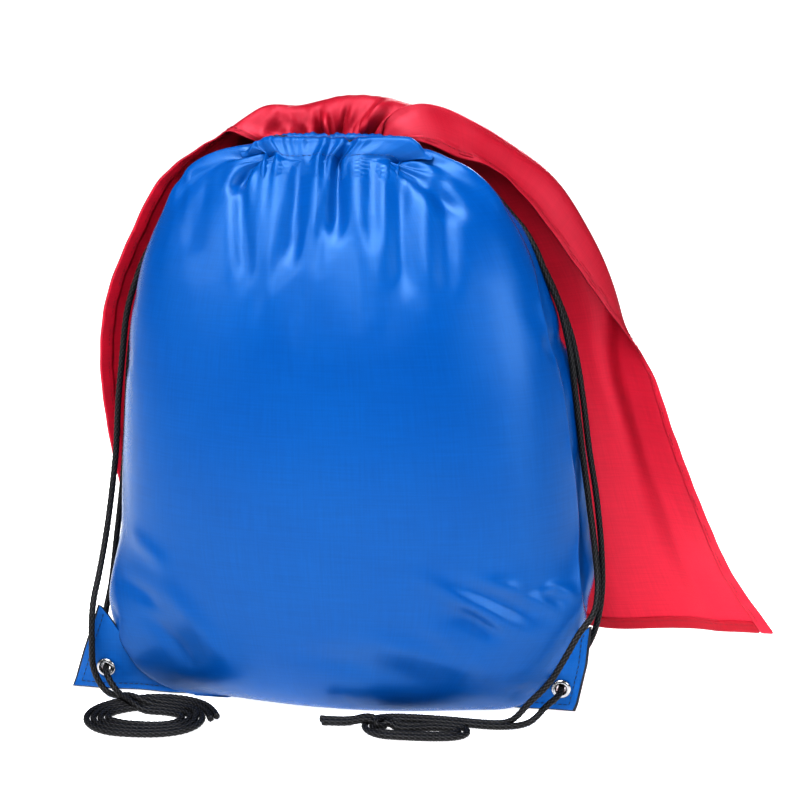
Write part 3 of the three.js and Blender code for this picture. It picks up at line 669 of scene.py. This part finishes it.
def tails():
    """The four strands' routes, whole, from casing to tip."""
    routes = {}
    for side, centre in (("left", coil_centre()), ("right", curve(HANK, TAIL_STEP))):
        outer, inner = side_by_side(centre, PAIR_SPACING)
        front, rear = (outer, inner) if side == "left" else (inner, outer)
        ends = {"front": front, "rear": rear}
        whole_pair = [
            curve([*STRAPS[f"{side}_{which}"], *tail[2:-2:4], tail[-1]], TAIL_STEP)
            for which, tail in ends.items()]
        # Only the tails and the last stretch of each strap settle.
        cut = min(
            len(whole) - len(curve(tail, TAIL_STEP))
            for whole, tail in zip(whole_pair, ends.values())) - TAIL_LEAD
        settled = settle([whole[cut:] for whole in whole_pair])
        for which, whole, end in zip(ends, whole_pair, settled):
            for _ in range(TAIL_SMOOTHING):
                end[1:-1] = 0.5 * end[1:-1] + 0.25 * (end[:-2] + end[2:])
            end[:, 2] = np.maximum(end[:, 2], LYING_Z)
            routes[f"{side}_{which}"] = curve(np.concatenate([whole[:cut], end])[::2], TUBE_STEP)
    return routes


def neck_reach(x):
    """How far the neck's cords run from its middle plane."""
    return NECK["radius"] + NECK["bow"] * (1 - ((x - NECK["x"]) / NECK["bow_half"]) ** 2)


def add_neck_cords(material):
    """The two drawstrings inside the casings, each with its turn at one end of the neck."""
    for name, height, turn_side in (
            ("left", UPPER_RUN_Z, 1), ("right", LOWER_RUN_Z, -1)):
        mouth = NECK["x"] - turn_side * (NECK["half"] + 0.2)
        bend = NECK["x"] + turn_side * NECK["half"]
        run = np.linspace(mouth, bend, 60)[:-1]
        front = [(x, NECK["y"] - neck_reach(x), height) for x in run]
        turn = [
            (bend + turn_side * NECK["turn"] * math.sin(a), NECK["y"] - neck_reach(bend) * math.cos(a),
             height) for a in np.linspace(0, math.pi, 25)]
        back = [(x, 2 * NECK["y"] - y, z) for x, y, z in reversed(front)]
        tube, _ = braided_tube(
            f"{name}_neck_cord", even(np.array(front + turn + back), TUBE_STEP), material, False)
        on_bag(tube, f"{name}_drawstring_in_casing")


def add_cords():
    """The four free strands, and the drawstrings' runs inside the casings."""
    material = cord_material()
    add_neck_cords(material)
    for name, path in tails().items():
        side = name.split("_")[0]
        tube, path = braided_tube(f"{name}_strand", path, material)
        coil = "left_tail_coil" if side == "left" else "right_tail_hank"
        on_bag(tube, f"{name}_strap", f"{name}_end", coil)


# ---- the bag ----
def section_row(index, side, turns):
    """One level section of a panel, for turns from 0 at the left seam to 1 at the right seam.
    Row -1 is the bottom seam."""
    z, left, right, front, back = SECTIONS[max(index, 0)]
    angle = math.pi * (1 - turns)
    across = np.sign(np.cos(angle)) * np.abs(np.cos(angle)) ** (2 / SECTION_POWER)
    out = np.abs(np.sin(angle)) ** (2 / SECTION_POWER)
    x = left + (right - left) * (across + 1) / 2
    pull = smoothstep(PULL_TOP - z, 0, PULL_TOP - 20)
    seam = SEAM_Y - np.where(across < 0, *CORNER_PULL) * pull * across**2
    if index < 0:
        end = SEAM_Y - np.where(across < 0, *CORNER_PULL) * pull
        y = BASE_SEAM_Y + (end - BASE_SEAM_Y) * across**2
    else:
        y = seam + ((front if side == "front" else back) - seam) * out
    return np.stack([x, y, np.full_like(x, z)], axis=1)


def panel_loft(side):
    """A panel's smooth shape as rows of points, evenly spaced as its cloth is, and its height."""
    rows = []
    for index in range(-1, len(SECTIONS)):
        rows.append(spread(section_row(index, side, np.linspace(0, 1, 400)), ACROSS + 1))
    rows = np.array(rows)
    height = along(rows[:, ACROSS // 2])
    loft = spline(height, rows, np.linspace(0, height[-1], UP + 1))
    return loft, height[-1]


def outward(grid, away):
    """Unit normals of a grid of points, on the side that faces away."""
    normal = np.cross(np.gradient(grid, axis=1), np.gradient(grid, axis=0))
    normal /= np.linalg.norm(normal, axis=2)[:, :, None] + 1e-9
    return normal * (1 if away == "front" else -1)


def flute_depth(x, down):
    """How deep the flutes under the neck are at places given by x and distance below the neck."""
    depth = np.zeros_like(x)
    for top, end, half, deep in FLUTES:
        t, off = crease(x, down, top, end)
        fade = plateau(t, -0.25, 0.1, 0.72, 1.04)
        width = half * (0.75 + 0.4 * np.clip(t, 0, 1))
        depth += deep * fade * (bell(off, width) - 0.32 * bell(off, 2 * width))
    return depth


def wrinkle_depth(x, z):
    """How deep the wrinkles low on the front are. Each curves a little."""
    depth = np.zeros_like(x)
    for first, last, half, deep in WRINKLES:
        t, off = crease(x, z, first, last)
        fade = plateau(t, -0.2, 0.35, 0.65, 1.15)
        depth += deep * fade * bell(off + 2.5 * np.sin(math.pi * np.clip(t, 0, 1)), half)
    return depth


def pleats(along_neck, seed):
    """The neck's puckers: an uneven wave along it, from -1 to 1. The front's seed is 1."""
    wave = np.sin(along_neck * 2 * math.pi / 10.5 + 1.7 * np.sin(along_neck / 7.0 + seed))
    uneven = 0.62 + 0.38 * np.sin(along_neck / 8.3 + 2 * seed)
    return wave * uneven * (1 - (0.8 if seed == 1 else 0.2) * plateau(along_neck, *CALM_STRETCH))


def drape(points, faces, flat, pins, pressure, stiffness, bend):
    """The points moved by a cloth simulation whose cloth is as large as flat."""
    thing = make_mesh("cloth_run", points, faces)
    thing.shape_key_add(name="worn")
    pattern = thing.shape_key_add(name="flat")
    pattern.data.foreach_set("co", (flat * MM).ravel())
    group = thing.vertex_groups.new(name="pins")
    for index in np.flatnonzero(pins > 0):
        group.add([int(index)], float(pins[index]), "REPLACE")
    cloth = thing.modifiers.new("cloth", "CLOTH")
    for key, value in {
            "quality": 6, "mass": 0.15, "air_damping": 2, "tension_stiffness": stiffness,
            "compression_stiffness": stiffness, "shear_stiffness": stiffness / 3,
            "bending_stiffness": bend, "tension_damping": 5, "compression_damping": 5,
            "shear_damping": 5, "rest_shape_key": pattern, "vertex_group_mass": "pins",
            "pin_stiffness": 1, "use_pressure": pressure != 0,
            "uniform_pressure_force": pressure}.items():
        setattr(cloth.settings, key, value)
    cloth.settings.effector_weights.gravity = 0
    cloth.collision_settings.use_collision = False
    cloth.point_cache.frame_start = 1
    cloth.point_cache.frame_end = CLOTH_FRAMES
    scene = bpy.context.scene
    for frame_number in range(1, CLOTH_FRAMES + 1):
        scene.frame_set(frame_number)
    worn = thing.evaluated_get(bpy.context.evaluated_depsgraph_get()).data
    result = np.empty(len(points) * 3)
    worn.vertices.foreach_get("co", result)
    scene.frame_set(1)
    bpy.data.objects.remove(thing)
    return result.reshape(-1, 3) / MM


def capped(start, end, reach):
    """end, but no further than about reach from start."""
    move = end - start
    length = np.linalg.norm(move, axis=-1, keepdims=True) + 1e-9
    return start + move * reach * np.tanh(length / reach) / length


def bag_shape():
    """The front and back panels after their cloth has settled, as grids of points."""
    lofts, grids, heights = {}, {}, {}
    u = np.linspace(-1, 1, ACROSS + 1)
    off_seam = (1 - np.abs(u)) * FLAT_WIDTH / 2
    for side in ("front", "back"):
        loft, height = panel_loft(side)
        lofts[side], heights[side] = loft, height
        z = loft[:, :, 2]
        pinch = SEAM_PINCH * bell(off_seam, 6)
        if side == "back":
            pinch = pinch - 2.5 * bell(off_seam - 15, 8)
        loft = loft.copy()
        loft[:, :, 0] -= np.sign(u) * pinch * plateau(z, *PINCHED_Z)
        down = height - np.linspace(0, height, UP + 1)[:, None] + 0 * z
        x = loft[:, :, 0]
        lift = PUCKERS["depth"] * np.exp(-down / PUCKERS["fade"])
        lift = lift * pleats(x, 1 if side == "front" else 2)
        if side == "front":
            lift = lift - flute_depth(x, down)
        else:
            lift = lift - BACK_FLUTES["depth"] * flute_depth(-x - BACK_FLUTES["shift"], down)
        clear = smoothstep(off_seam, 0, 25)
        grids[side] = loft + outward(loft, side) * (lift * clear)[:, :, None]
    columns = ACROSS + 1
    count = (UP + 1) * columns
    front_index = np.arange(count).reshape(UP + 1, columns)
    back_index = front_index.copy()
    inner = np.zeros((UP + 1, columns), bool)
    inner[1:, 1:-1] = True
    back_index[inner] = count + np.arange(inner.sum())
    points = np.concatenate([grids["front"].reshape(-1, 3), grids["back"][inner]])
    v = np.linspace(0, 1, UP + 1)[:, None]
    # Near the neck the pattern narrows, because the puckers take up that cloth.
    flat_x = u * FLAT_WIDTH / 2 * (1 - NECK_TAKE_UP * smoothstep(v, 0.72, 1))
    flat = np.stack([flat_x, 0 * flat_x, v * heights["front"] + 0 * flat_x], axis=2)
    back_flat = flat + (0, 0.5, 0)
    flat_points = np.concatenate([flat.reshape(-1, 3), back_flat[inner]])
    # The neck, the bottom seam and the corners are held.
    pins = np.zeros((UP + 1, columns))
    pins[-1] = 1
    z = lofts["front"][:, :, 2]
    pins[(z < HELD_CORNER_Z) & (np.abs(u) > 0.999)] = 1
    pins[z < 0.5] = 1
    back_pins = np.where(lofts["back"][:, :, 2] < 0.5, 1.0, pins)
    pin_values = np.concatenate([pins.ravel(), back_pins[inner]])
    squares = grid_faces(UP + 1, columns)
    faces = squares + [[back_index.flat[k] for k in (a, d, c, b)] for a, b, c, d in squares]
    settled = drape(points, faces, flat_points, pin_values, **BAG_CLOTH)
    settled = capped(points, settled, CLOTH_REACH)
    shape = {"front": settled[front_index], "back": settled[back_index]}
    # In front the cloth stands up before the cords at the shoulders, and hides them.
    front = shape["front"]
    crest = CREST * bell(off_seam - 15, 10) * smoothstep(front[..., 2], 312, 346)
    crest = crest - wrinkle_depth(front[..., 0], front[..., 2])
    shape["front"] = front + outward(front, "front") * crest[..., None]
    # The right seam is drawn in and forward, and the back panel shows as a strip beside it.
    for grid in shape.values():
        z = grid[..., 2]
        height = plateau(z, *SEAM_STRIP["z"])
        wavy = 1 + 0.18 * np.sin(z / 13) + 0.1 * np.sin(z / 5.3)
        drawn = height * wavy * (u > 0)
        grid[..., 0] -= SEAM_STRIP["in"] * drawn * bell(off_seam, 9)
        grid[..., 1] -= SEAM_STRIP["forward"] * drawn * bell(off_seam, 17)
        if grid is shape["back"]:
            grid[..., 0] += SEAM_STRIP["out"] * height * (u > 0) * bell(off_seam - 18, 10)
        grid[..., 2] = np.maximum(grid[..., 2], LOWEST_PANEL)
    return shape


def pattern_uv(rows, columns, width, height, start=(0, 0)):
    """Places on the flat pattern, in metres, for a grid of points."""
    u, v = np.meshgrid(np.linspace(0, width, columns), np.linspace(0, height, rows))
    return (np.stack([u, v], axis=2).reshape(-1, 2) + start) * MM


def cloth_piece(name, grid, material, away, thickness=0.5, uv=None, keep=None, smooth=1):
    """A sheet of cloth over a grid of points. keep says which of the grid's squares it has."""
    faces = grid_faces(*grid.shape[:2])
    points = grid.reshape(-1, 3)
    if keep is not None:
        faces = [face for face, kept in zip(faces, keep.ravel()) if kept]
        used = np.unique(faces)
        place = np.full(len(points), -1)
        place[used] = np.arange(len(used))
        faces, points = place[np.array(faces)].tolist(), points[used]
        uv = None if uv is None else uv[used]
    piece = make_mesh(name, points, faces, uv)
    if away == "back":
        piece.data.flip_normals()
    piece.data.materials.append(material)
    if smooth:
        finer = piece.modifiers.new("smooth", "SUBSURF")
        finer.levels = finer.render_levels = smooth
    solid = piece.modifiers.new("thickness", "SOLIDIFY")
    solid.thickness = thickness * MM
    solid.offset = -1
    return piece


def add_bag(material):
    """The two panels and their seams' stitches. Returns the panels' grids of points."""
    shape = bag_shape()
    for side, grid in shape.items():
        uv = pattern_uv(*grid.shape[:2], FLAT_WIDTH, FLAT_HEIGHT)
        piece = cloth_piece(f"{side}_panel", grid, material, side, uv=uv)
        on_bag(piece, *[f"{side}_panel_{band}" for band in ("lower", "middle", "upper")])
    # The seams' stitches are darkened as painted shade for the groove along each seam.
    thread = thread_material("seam_thread_and_groove_shade")
    front = shape["front"]
    rows = slice(*np.searchsorted(front[:, 0, 2], SEAM_STITCHES_Z))
    for side, column in (("left", 1), ("right", -2)):
        turned = 0.6 if side == "right" else -0.6
        on_bag(stitch_line(
            f"{side}_seam_stitches", even(front[rows, column], 2), (turned, -1, 0.05), thread,
            lift=0.7, thread=SEAM_THREAD))
    return shape


# ---- the casings ----
def casing_grid(side, panel):
    """A casing's outer wall, fold and inner wall, puckered over its cords."""
    sign = -1 if side == "front" else 1
    left, right = CASING[side]
    wide = np.linspace(left, right, CASING_COLUMNS)
    x = np.linspace(max(left, CASING_FOOT[0]), min(right, CASING_FOOT[1]), CASING_COLUMNS)
    edge = panel[-1][np.argsort(panel[-1][:, 0])] + (0, 0.5 * sign, 0.2)
    edge_y, edge_z = read_off(x, edge[:, 0], edge[:, 1:]).T
    pucker = pleats(x, 1 if side == "front" else 2)
    calm = plateau(x, *CALM_STRETCH) if side == "front" else 0
    fine = 0.5 * np.sin(x * 2 * math.pi / 4.3 + 2 * np.sin(x / 6.0)) * (1 - 0.8 * calm)
    run = NECK["y"] + sign * neck_reach(np.clip(x, *CORD_RUN))
    half = CASING["depth"] / 2
    cleft = bell(x + 4, 2.2) if side == "front" else 0
    overlap = 2.4 * bell(x - 3, 3.5) if side == "front" else 0
    out = np.maximum(half + 0.3 + 1.6 * pucker + 0.5 * fine + overlap - 0.9 * cleft, 2.9)
    outer = run + sign * out
    inner = run - sign * (half - 0.3 + 0.35 * pucker)
    top = CASING["top"] + 0.7 * pucker + 0.5 * fine + 1.2 * calm - 1.6 * cleft
    ends = bell(wide - left, CASING["end"]) + bell(right - wide, CASING["end"])
    fold = top - (10 if side == "front" else 1.5) * ends - CASING["lip"]
    inner = inner + (outer - sign * 2 - inner) * np.minimum(ends * 0.8, 1)
    rows = []
    normal = outward(panel, side)
    # It rises out of the panel's top edge, so that the gathers run on into it.
    for k, lift in zip(range(-6, 0), (-0.7, -0.25, 0.1, 0.3, 0.4, 0.45)):
        line = panel[k] + normal[k] * lift
        line = line[np.argsort(line[:, 0])]
        rows.append(np.column_stack([x, read_off(x, line[:, 0], line[:, 1:])]))
    for t in np.linspace(0.12, 1, 9):
        y = edge_y + (outer - edge_y) * (0.6 * t + 0.4 * smoothstep(t, 0, 1))
        # The hem's stitches pull the cloth in.
        y = y - sign * 0.35 * bell(t - 0.16, 0.09)
        z = edge_z + (fold - edge_z) * t
        rows.append(np.stack([x + (wide - x) * t, y, z], 1))
    for angle in np.linspace(0, math.pi, 9)[1:-1]:
        y = (outer + inner) / 2 + (outer - inner) / 2 * math.cos(angle)
        rows.append(np.stack([wide, y, fold + CASING["lip"] * math.sin(angle)], 1))
    for t in np.linspace(0, 1, 7):
        rows.append(np.stack([wide, inner, fold - (fold - CASING_INNER_EDGE) * t], 1))
    return np.array(rows)


def add_casings(shape, material):
    """The front and back casings over the drawstrings, with their hems' stitches."""
    thread = thread_material("casing_thread")
    for side in ("front", "back"):
        grid = casing_grid(side, shape[side])
        uv = pattern_uv(*grid.shape[:2], FLAT_WIDTH, 24, (0, FLAT_HEIGHT))
        piece = cloth_piece(
            f"{side}_casing_sleeve", grid, material, side, 0.45, uv)
        on_bag(piece, f"{side}_casing")
        on_bag(stitch_line(
            f"{side}_casing_stitches", even(grid[7], 1), (0, -1 if side == "front" else 1, 0.2),
            thread, lift=0.2))


# ---- the corner flaps ----
def between_lines(outer, inner, rows, columns):
    """Points in x and z between two lines."""
    share = np.linspace(0, 1, columns)[None, :, None]
    outer, inner = (spread(np.array(line, float), rows)[:, None] for line in (outer, inner))
    return outer * (1 - share) + inner * share


def flap_height(places, seed):
    """How far a flap's cloth stands forward, in its soft puckers."""
    x, z = places[..., 0], places[..., 1]
    return 0.5 * np.sin(x / 6.5 + z / 11 + seed) + 0.3 * np.sin(z / 4.6 - x / 9 + 2 * seed)


def lathe(name, profile, place, material, sides=48):
    """A ring turned round a level axis along y. Its profile is a closed line of radius and y."""
    points = []
    for radius, y in profile:
        for k in range(sides):
            a = 2 * math.pi * k / sides
            points.append((place[0] + radius * math.cos(a), y, place[1] + radius * math.sin(a)))
    faces = grid_faces(len(profile), sides, closed=True)
    last = (len(profile) - 1) * sides
    for k in range(sides):
        faces.append([last + k, last + (k + 1) % sides, (k + 1) % sides, k])
    ring = make_mesh(name, points, faces)
    ring.data.flip_normals()
    ring.data.materials.append(material)
    return ring


def eyelet_profile(low, high):
    """An eyelet's rolled rim and barrel, as a closed line of radius and y."""
    hole, flange = EYELET["hole"], EYELET["flange"]
    return [
        (hole, high), (hole, low + 0.9), (hole + 0.25, low + 0.35), (hole + 0.9, low),
        (hole + 1.7, low), (flange - 0.7, low + 0.45), (flange - 0.1, low + 0.85),
        (flange, low + 1.15), (flange - 0.3, low + 1.3), (hole + 1.0, low + 1.2),
        (hole + 0.75, low + 1.7), (hole + 0.75, high)]


def washer_profile(low, high):
    hole, flange = EYELET["hole"], EYELET["flange"]
    return [
        (hole + 0.85, low), (hole + 0.85, high - 0.3), (hole + 1.5, high),
        (flange - 0.8, high - 0.15), (flange, high - 0.6), (flange - 0.2, low)]


def add_corners():
    """Each corner's blue flap and black lining, their stitches and their eyelet."""
    blue, black = weave_material("corner_polyester"), weave_material("black_backing")
    metal, thread = metal_material(), thread_material("corner_thread")
    for side, corner in CORNERS.items():
        sign = -1 if side == "left" else 1
        seed = 0.4 if side == "left" else 2.1
        eye = np.array(corner["eyelet"], float)
        places = between_lines(corner["outer"], corner["inner"], 64, 56)
        box = {part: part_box(f"{side}_{part}") for part in
               ("corner_facing", "corner_backing", "eyelet", "eyelet_washer")}
        face_y = box["corner_facing"][0][1] / MM
        back_y = box["corner_backing"][1][1] / MM
        distance = np.linalg.norm(places - eye, axis=2)
        calm = smoothstep(distance, EYELET["flange"], EYELET["flange"] + 6)
        sheets = []
        for name, node, grow, y, material, slot in (
                ("corner_flap", "corner_facing", 0.0, face_y + 0.3, blue, "bag_fabric"),
                ("corner_lining", "corner_backing", 1.0, back_y - 0.3, black, "corner_backing")):
            wide = places.copy()
            # The lining shows as a thin dark edge outside the flap.
            rim = smoothstep(np.linspace(1, 0, places.shape[1]), 0.7, 1)[None, :] * grow
            wide[..., 0] += sign * BACKING_MARGIN * rim
            low = 1 - smoothstep(places[..., 1], 2.2, 14)
            wide[..., 1] -= 1.4 * low * grow
            height = flap_height(places, seed) * calm
            grid = np.stack([wide[..., 0], y - height, wide[..., 1]], 2)
            cells = distance[:-1, :-1] + distance[1:, 1:] + distance[:-1, 1:] + distance[1:, :-1]
            uv = places.reshape(-1, 2) * MM
            piece = cloth_piece(
                f"{side}_{name}", grid, material, "front" if sign > 0 else "back", 0.4, uv,
                keep=cells / 4 > EYELET["hole"] + 1.2, smooth=0)
            on_bag(piece, f"{side}_{node}")
            sheets.append(grid)
        flap = sheets[0]
        rows, columns = flap.shape[:2]
        widths = np.linalg.norm(flap[:, -1] - flap[:, 0], axis=1)
        inset = np.clip(STITCH_INSET / np.maximum(widths, 1e-3), 0, 0.5) * (columns - 1)
        down = np.array([
            flap[i, int(inset[i])] + (flap[i, int(inset[i]) + 1] - flap[i, int(inset[i])])
            * (inset[i] % 1) for i in range(4, rows - 4)])
        level = flap[-4, int(inset[-4]):columns - 12].copy()
        level[:, 2] = BASE_STITCHES_Z
        for label, path in (("edge", down), ("base", level)):
            on_bag(stitch_line(
                f"{side}_flap_{label}_stitches", even(path, 1), (0, -1, 0), thread,
                lift=0.35))
        for part, profile in (("eyelet", eyelet_profile), ("eyelet_washer", washer_profile)):
            low, high = (v[1] / MM for v in box[part])
            on_bag(lathe(f"{side}_{part}_ring", profile(low, high), eye, metal), f"{side}_{part}")


# ---- the cape ----
def cape_loft():
    """The cape's smooth shape as rows of points from the neck down, and its cloth's length."""
    rows = np.array(CAPE_ROWS, float)
    u = np.linspace(0, 1, CAPE_ACROSS + 1)
    rows = np.array([spline(CAPE_COLUMNS, row, u) for row in rows])
    steps = np.linalg.norm(np.diff(rows, axis=0), axis=2).mean(axis=1)
    down = np.r_[0, np.cumsum(steps)]
    loft = spline(down, rows, np.linspace(0, down[-1], CAPE_DOWN + 1))
    return loft, down[-1]


def cape_normal(grid):
    """Unit normals of the cape's grid, away from the bag and up over its roll."""
    normal = np.cross(np.gradient(grid, axis=0), np.gradient(grid, axis=1))
    return normal / (np.linalg.norm(normal, axis=2)[:, :, None] + 1e-9)


def roll_valleys(x, z):
    """How deep the valleys in the front of the gathered roll are."""
    depth = np.zeros_like(x)
    for low, high, half, deep in ROLL_VALLEYS:
        t, off = crease(x, z, low, high)
        fade = plateau(t, -0.3, 0.05, 0.75, 1.1)
        depth += deep * fade * (bell(off, half) - 0.4 * bell(off, 2.1 * half))
    return depth


def cape_shape(bag):
    """The cape after its cloth has settled, as a grid of points from the neck down."""
    loft, length = cape_loft()
    u = np.linspace(0, 1, CAPE_ACROSS + 1)[None, :]
    down = np.linspace(0, length, CAPE_DOWN + 1)[:, None]
    inside = plateau(u, 0, 0.06, 0.9, 0.945)
    # Small gathers at the neck open out into a few deep folds.
    across = u * CAPE_WIDTH
    phase = across + 9 * np.sin(across / 41.0) + 5 * np.sin(across / 17.0 + 1)
    turn = phase * 2 * math.pi
    small = np.sin(turn / 34 + 1.1) * np.exp(-down / 26) * 0.3
    middle = np.sin(turn / 39 + 0.8) * smoothstep(down, 30, 80) * np.exp(-down / 190) * 3.2
    wide = np.sin(turn / 78 + 2.2 + down / 300) * smoothstep(down, 50, 200)
    back = plateau(u, 0.1, 0.26, 0.72, 0.88)
    wide = wide * (1.6 + 4.2 * back)
    front_of_roll = 1 - smoothstep(down, 22, 40)
    valley = roll_valleys(loft[..., 0], loft[..., 2]) * front_of_roll * inside
    normal = cape_normal(loft)
    start = loft + normal * ((small + middle + wide) * inside)[..., None]
    # Near the neck the pattern narrows, because the gathers take up that cloth.
    width = np.linalg.norm(np.diff(start, axis=1), axis=2).sum(axis=1)[:, None]
    width = width + (CAPE_WIDTH - width) * smoothstep(down, 30, 150)
    width = np.maximum(width, NARROWEST_CAPE)
    flat = np.stack([(u - 0.5) * width, 0 * u + 0 * down, -down + 0 * u], 2)
    pins = np.zeros(loft.shape[:2])
    pins[:2] = 1
    pins += 0.5 * (1 - smoothstep(down, 20, 60))
    pins[-1] = 1
    pins[:, 0] = pins[:, -1] = 0.6
    pins = np.minimum(pins, 1)
    settled = drape(
        start.reshape(-1, 3), grid_faces(*loft.shape[:2]), flat.reshape(-1, 3), pins.ravel(),
        **CAPE_CLOTH)
    settled = settled.reshape(loft.shape)
    reach = 5 + 8 * back * smoothstep(down, 60, 160)
    settled = capped(start, settled, reach[..., None])
    for _ in range(3):
        settled[1:-1, 1:-1] = 0.5 * settled[1:-1, 1:-1] + 0.125 * (
            settled[:-2, 1:-1] + settled[2:, 1:-1] + settled[1:-1, :-2] + settled[1:-1, 2:])
    settled = settled - cape_normal(settled) * valley[..., None]
    return clear_of_bag(settled, bag), length


def clear_of_bag(grid, bag):
    """The cape's points, moved back where they would lie in the bag's back panel."""
    back = bag["back"]
    tree = BVHTree.FromPolygons(
        [tuple(p) for p in back.reshape(-1, 3)], grid_faces(*back.shape[:2]))
    grid = grid.copy()
    for point in grid.reshape(-1, 3):
        hit = tree.ray_cast(Vector((point[0], 400, point[2])), Vector((0, -1, 0)))[0]
        if hit is not None and 0 < point[1] < hit.y + CAPE_CLEARANCE:
            point[1] = hit.y + CAPE_CLEARANCE
    grid[..., 2] = np.maximum(grid[..., 2], CAPE_LOWEST)
    return grid


def add_cape(bag):
    # The cape's inner side and its side hems carry painted light: the same red cloth, made brighter to
    # stand in for light shining through the thin cape.
    red, inner_painted_backlight = weave_material("cape_polyester"), weave_material("cape_inner_painted_backlight_polyester")
    dark, thread = weave_material("cape_hem_polyester"), thread_material("cape_thread")
    grid, length = cape_shape(bag)
    rows, columns = grid.shape[:2]
    uv = pattern_uv(rows, columns, CAPE_WIDTH, length)
    normal = cape_normal(grid)
    side_hem = round(CAPE_HEM / CAPE_WIDTH * CAPE_ACROSS)
    base_hem = round(CAPE_BOTTOM_HEM / length * CAPE_DOWN)
    squares = np.zeros((rows - 1, columns - 1), bool)
    wave = 0.35 * np.sin(np.arange(rows) * 0.9)[:, None, None]

    def region(row_slice, column_slice):
        keep = squares.copy()
        keep[row_slice, column_slice] = True
        return keep

    pieces = [(
        "cape_sheet", grid, inner_painted_backlight, 0.5, region(slice(0, rows - 2), slice(1, columns - 2)),
        ("cape_ruff", "cape_panel"))]
    puffed = grid + normal * 0.25
    for name, row_slice, column_slice in (
            ("left", slice(0, rows - 1), slice(0, side_hem)),
            ("right", slice(0, rows - 1), slice(columns - 1 - side_hem, columns - 1)),
            ("bottom", slice(rows - 1 - base_hem, rows - 1), slice(side_hem, columns - 1 - side_hem))):
        lifted = puffed + (normal * wave if name != "bottom" else 0)
        pieces.append((
            f"cape_{name}_hem_band", lifted, dark if name == "bottom" else inner_painted_backlight, 1.1,
            region(row_slice, column_slice), (f"cape_{name}_hem",)))
    made = []
    for name, points, material, thickness, keep, nodes in pieces:
        piece = cloth_piece(name, points, material, "back", thickness, uv, keep)
        piece.modifiers["thickness"].offset = 0
        if material is inner_painted_backlight:
            piece.data.materials.append(red)
            piece.modifiers["thickness"].material_offset = 1
            piece.modifiers["thickness"].material_offset_rim = 1
        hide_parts(*nodes)
        made.append(piece)
    stitched = {
        "left": (grid[:, side_hem - 1], normal[:, side_hem - 1]),
        "right": (grid[:, columns - side_hem], normal[:, columns - side_hem]),
        "bottom": (grid[rows - base_hem], normal[rows - base_hem]),
    }
    for name, (path, facing) in stitched.items():
        for face in (1, -1):
            label = "outer" if face > 0 else "inner"
            made.append(stitch_line(
                f"cape_{name}_{label}_stitches", path, facing * face, thread, 0.75))
    for piece in made:
        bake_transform(piece)


# ---- studio ----
def add_camera():
    azimuth, elevation = math.radians(VIEW_AZIMUTH), math.radians(VIEW_ELEVATION)
    back = Vector((
        math.sin(azimuth) * math.cos(elevation), -math.cos(azimuth) * math.cos(elevation),
        math.sin(elevation),
    ))
    camera = bpy.data.objects.new("camera", bpy.data.cameras.new("camera"))
    camera.data.lens = LENS
    camera.data.sensor_width = 36
    camera.location = (Vector(VIEW_TARGET) + back * VIEW_DISTANCE) * MM
    camera.rotation_euler = (-back).to_track_quat("-Z", "Y").to_euler()
    bpy.context.scene.collection.objects.link(camera)
    bpy.context.scene.camera = camera


def add_lamp(name, kind, place, target, energy):
    lamp = bpy.data.objects.new(name, bpy.data.lights.new(name, kind))
    lamp.data.energy = energy
    lamp.location = place
    lamp.rotation_euler = (Vector(target) - Vector(place)).to_track_quat("-Z", "Y").to_euler()
    bpy.context.scene.collection.objects.link(lamp)
    return lamp.data


def stage_piece(name, material_name, color, roughness, level, glow):
    """Names the new object, and gives it a glowing white finish."""
    piece = bpy.context.object
    piece.name = name
    material, tree, shader = new_material(material_name, color, roughness, level)
    set_inputs(tree, shader, {"Emission Color": (1, 1, 1, 1), "Emission Strength": glow})
    piece.data.materials.append(material)
    return piece


def add_studio():
    scene = bpy.context.scene
    scene.view_settings.view_transform = "Standard"
    scene.view_settings.look = "High Contrast"
    bpy.ops.mesh.primitive_plane_add(size=FLOOR_SIZE, location=(0, 0, FLOOR_Z))
    stage_piece("floor", "studio_floor", (0.93, 0.93, 0.93), 0.22, 0.35, FLOOR_GLOW)
    # A white wall far away, which only the camera sees.
    bpy.ops.mesh.primitive_cylinder_add(
        vertices=64, radius=WALL_RADIUS, depth=WALL_HEIGHT, end_fill_type="NOTHING",
        location=(0, 0, WALL_HEIGHT / 2 - 1))
    wall = stage_piece("backdrop", "studio_backdrop", (0, 0, 0), 1, 0.5, WALL_GLOW)
    for rays in ("diffuse", "glossy", "shadow", "transmission", "volume_scatter"):
        setattr(wall, f"visible_{rays}", False)
    scene.world = bpy.data.worlds.new("studio")
    scene.world.use_nodes = True
    nodes = scene.world.node_tree
    set_inputs(
        nodes, nodes.nodes["Background"], {"Color": (1, 1, 1, 1), "Strength": WORLD_STRENGTH})
    sun = add_lamp("sun", "SUN", (0, 0, 0), SUN["toward"], SUN["strength"])
    sun.angle = math.radians(SUN["angle"])
    for name, (place, target, size, power) in LAMPS.items():
        lamp = add_lamp(name, "AREA", place, target, power)
        lamp.shape = "SQUARE"
        lamp.size = size


add_camera()
add_cords()
bag_cloth = weave_material("bag_polyester")
bag = add_bag(bag_cloth)
add_casings(bag, bag_cloth)
add_corners()
add_cape(bag)
add_studio()
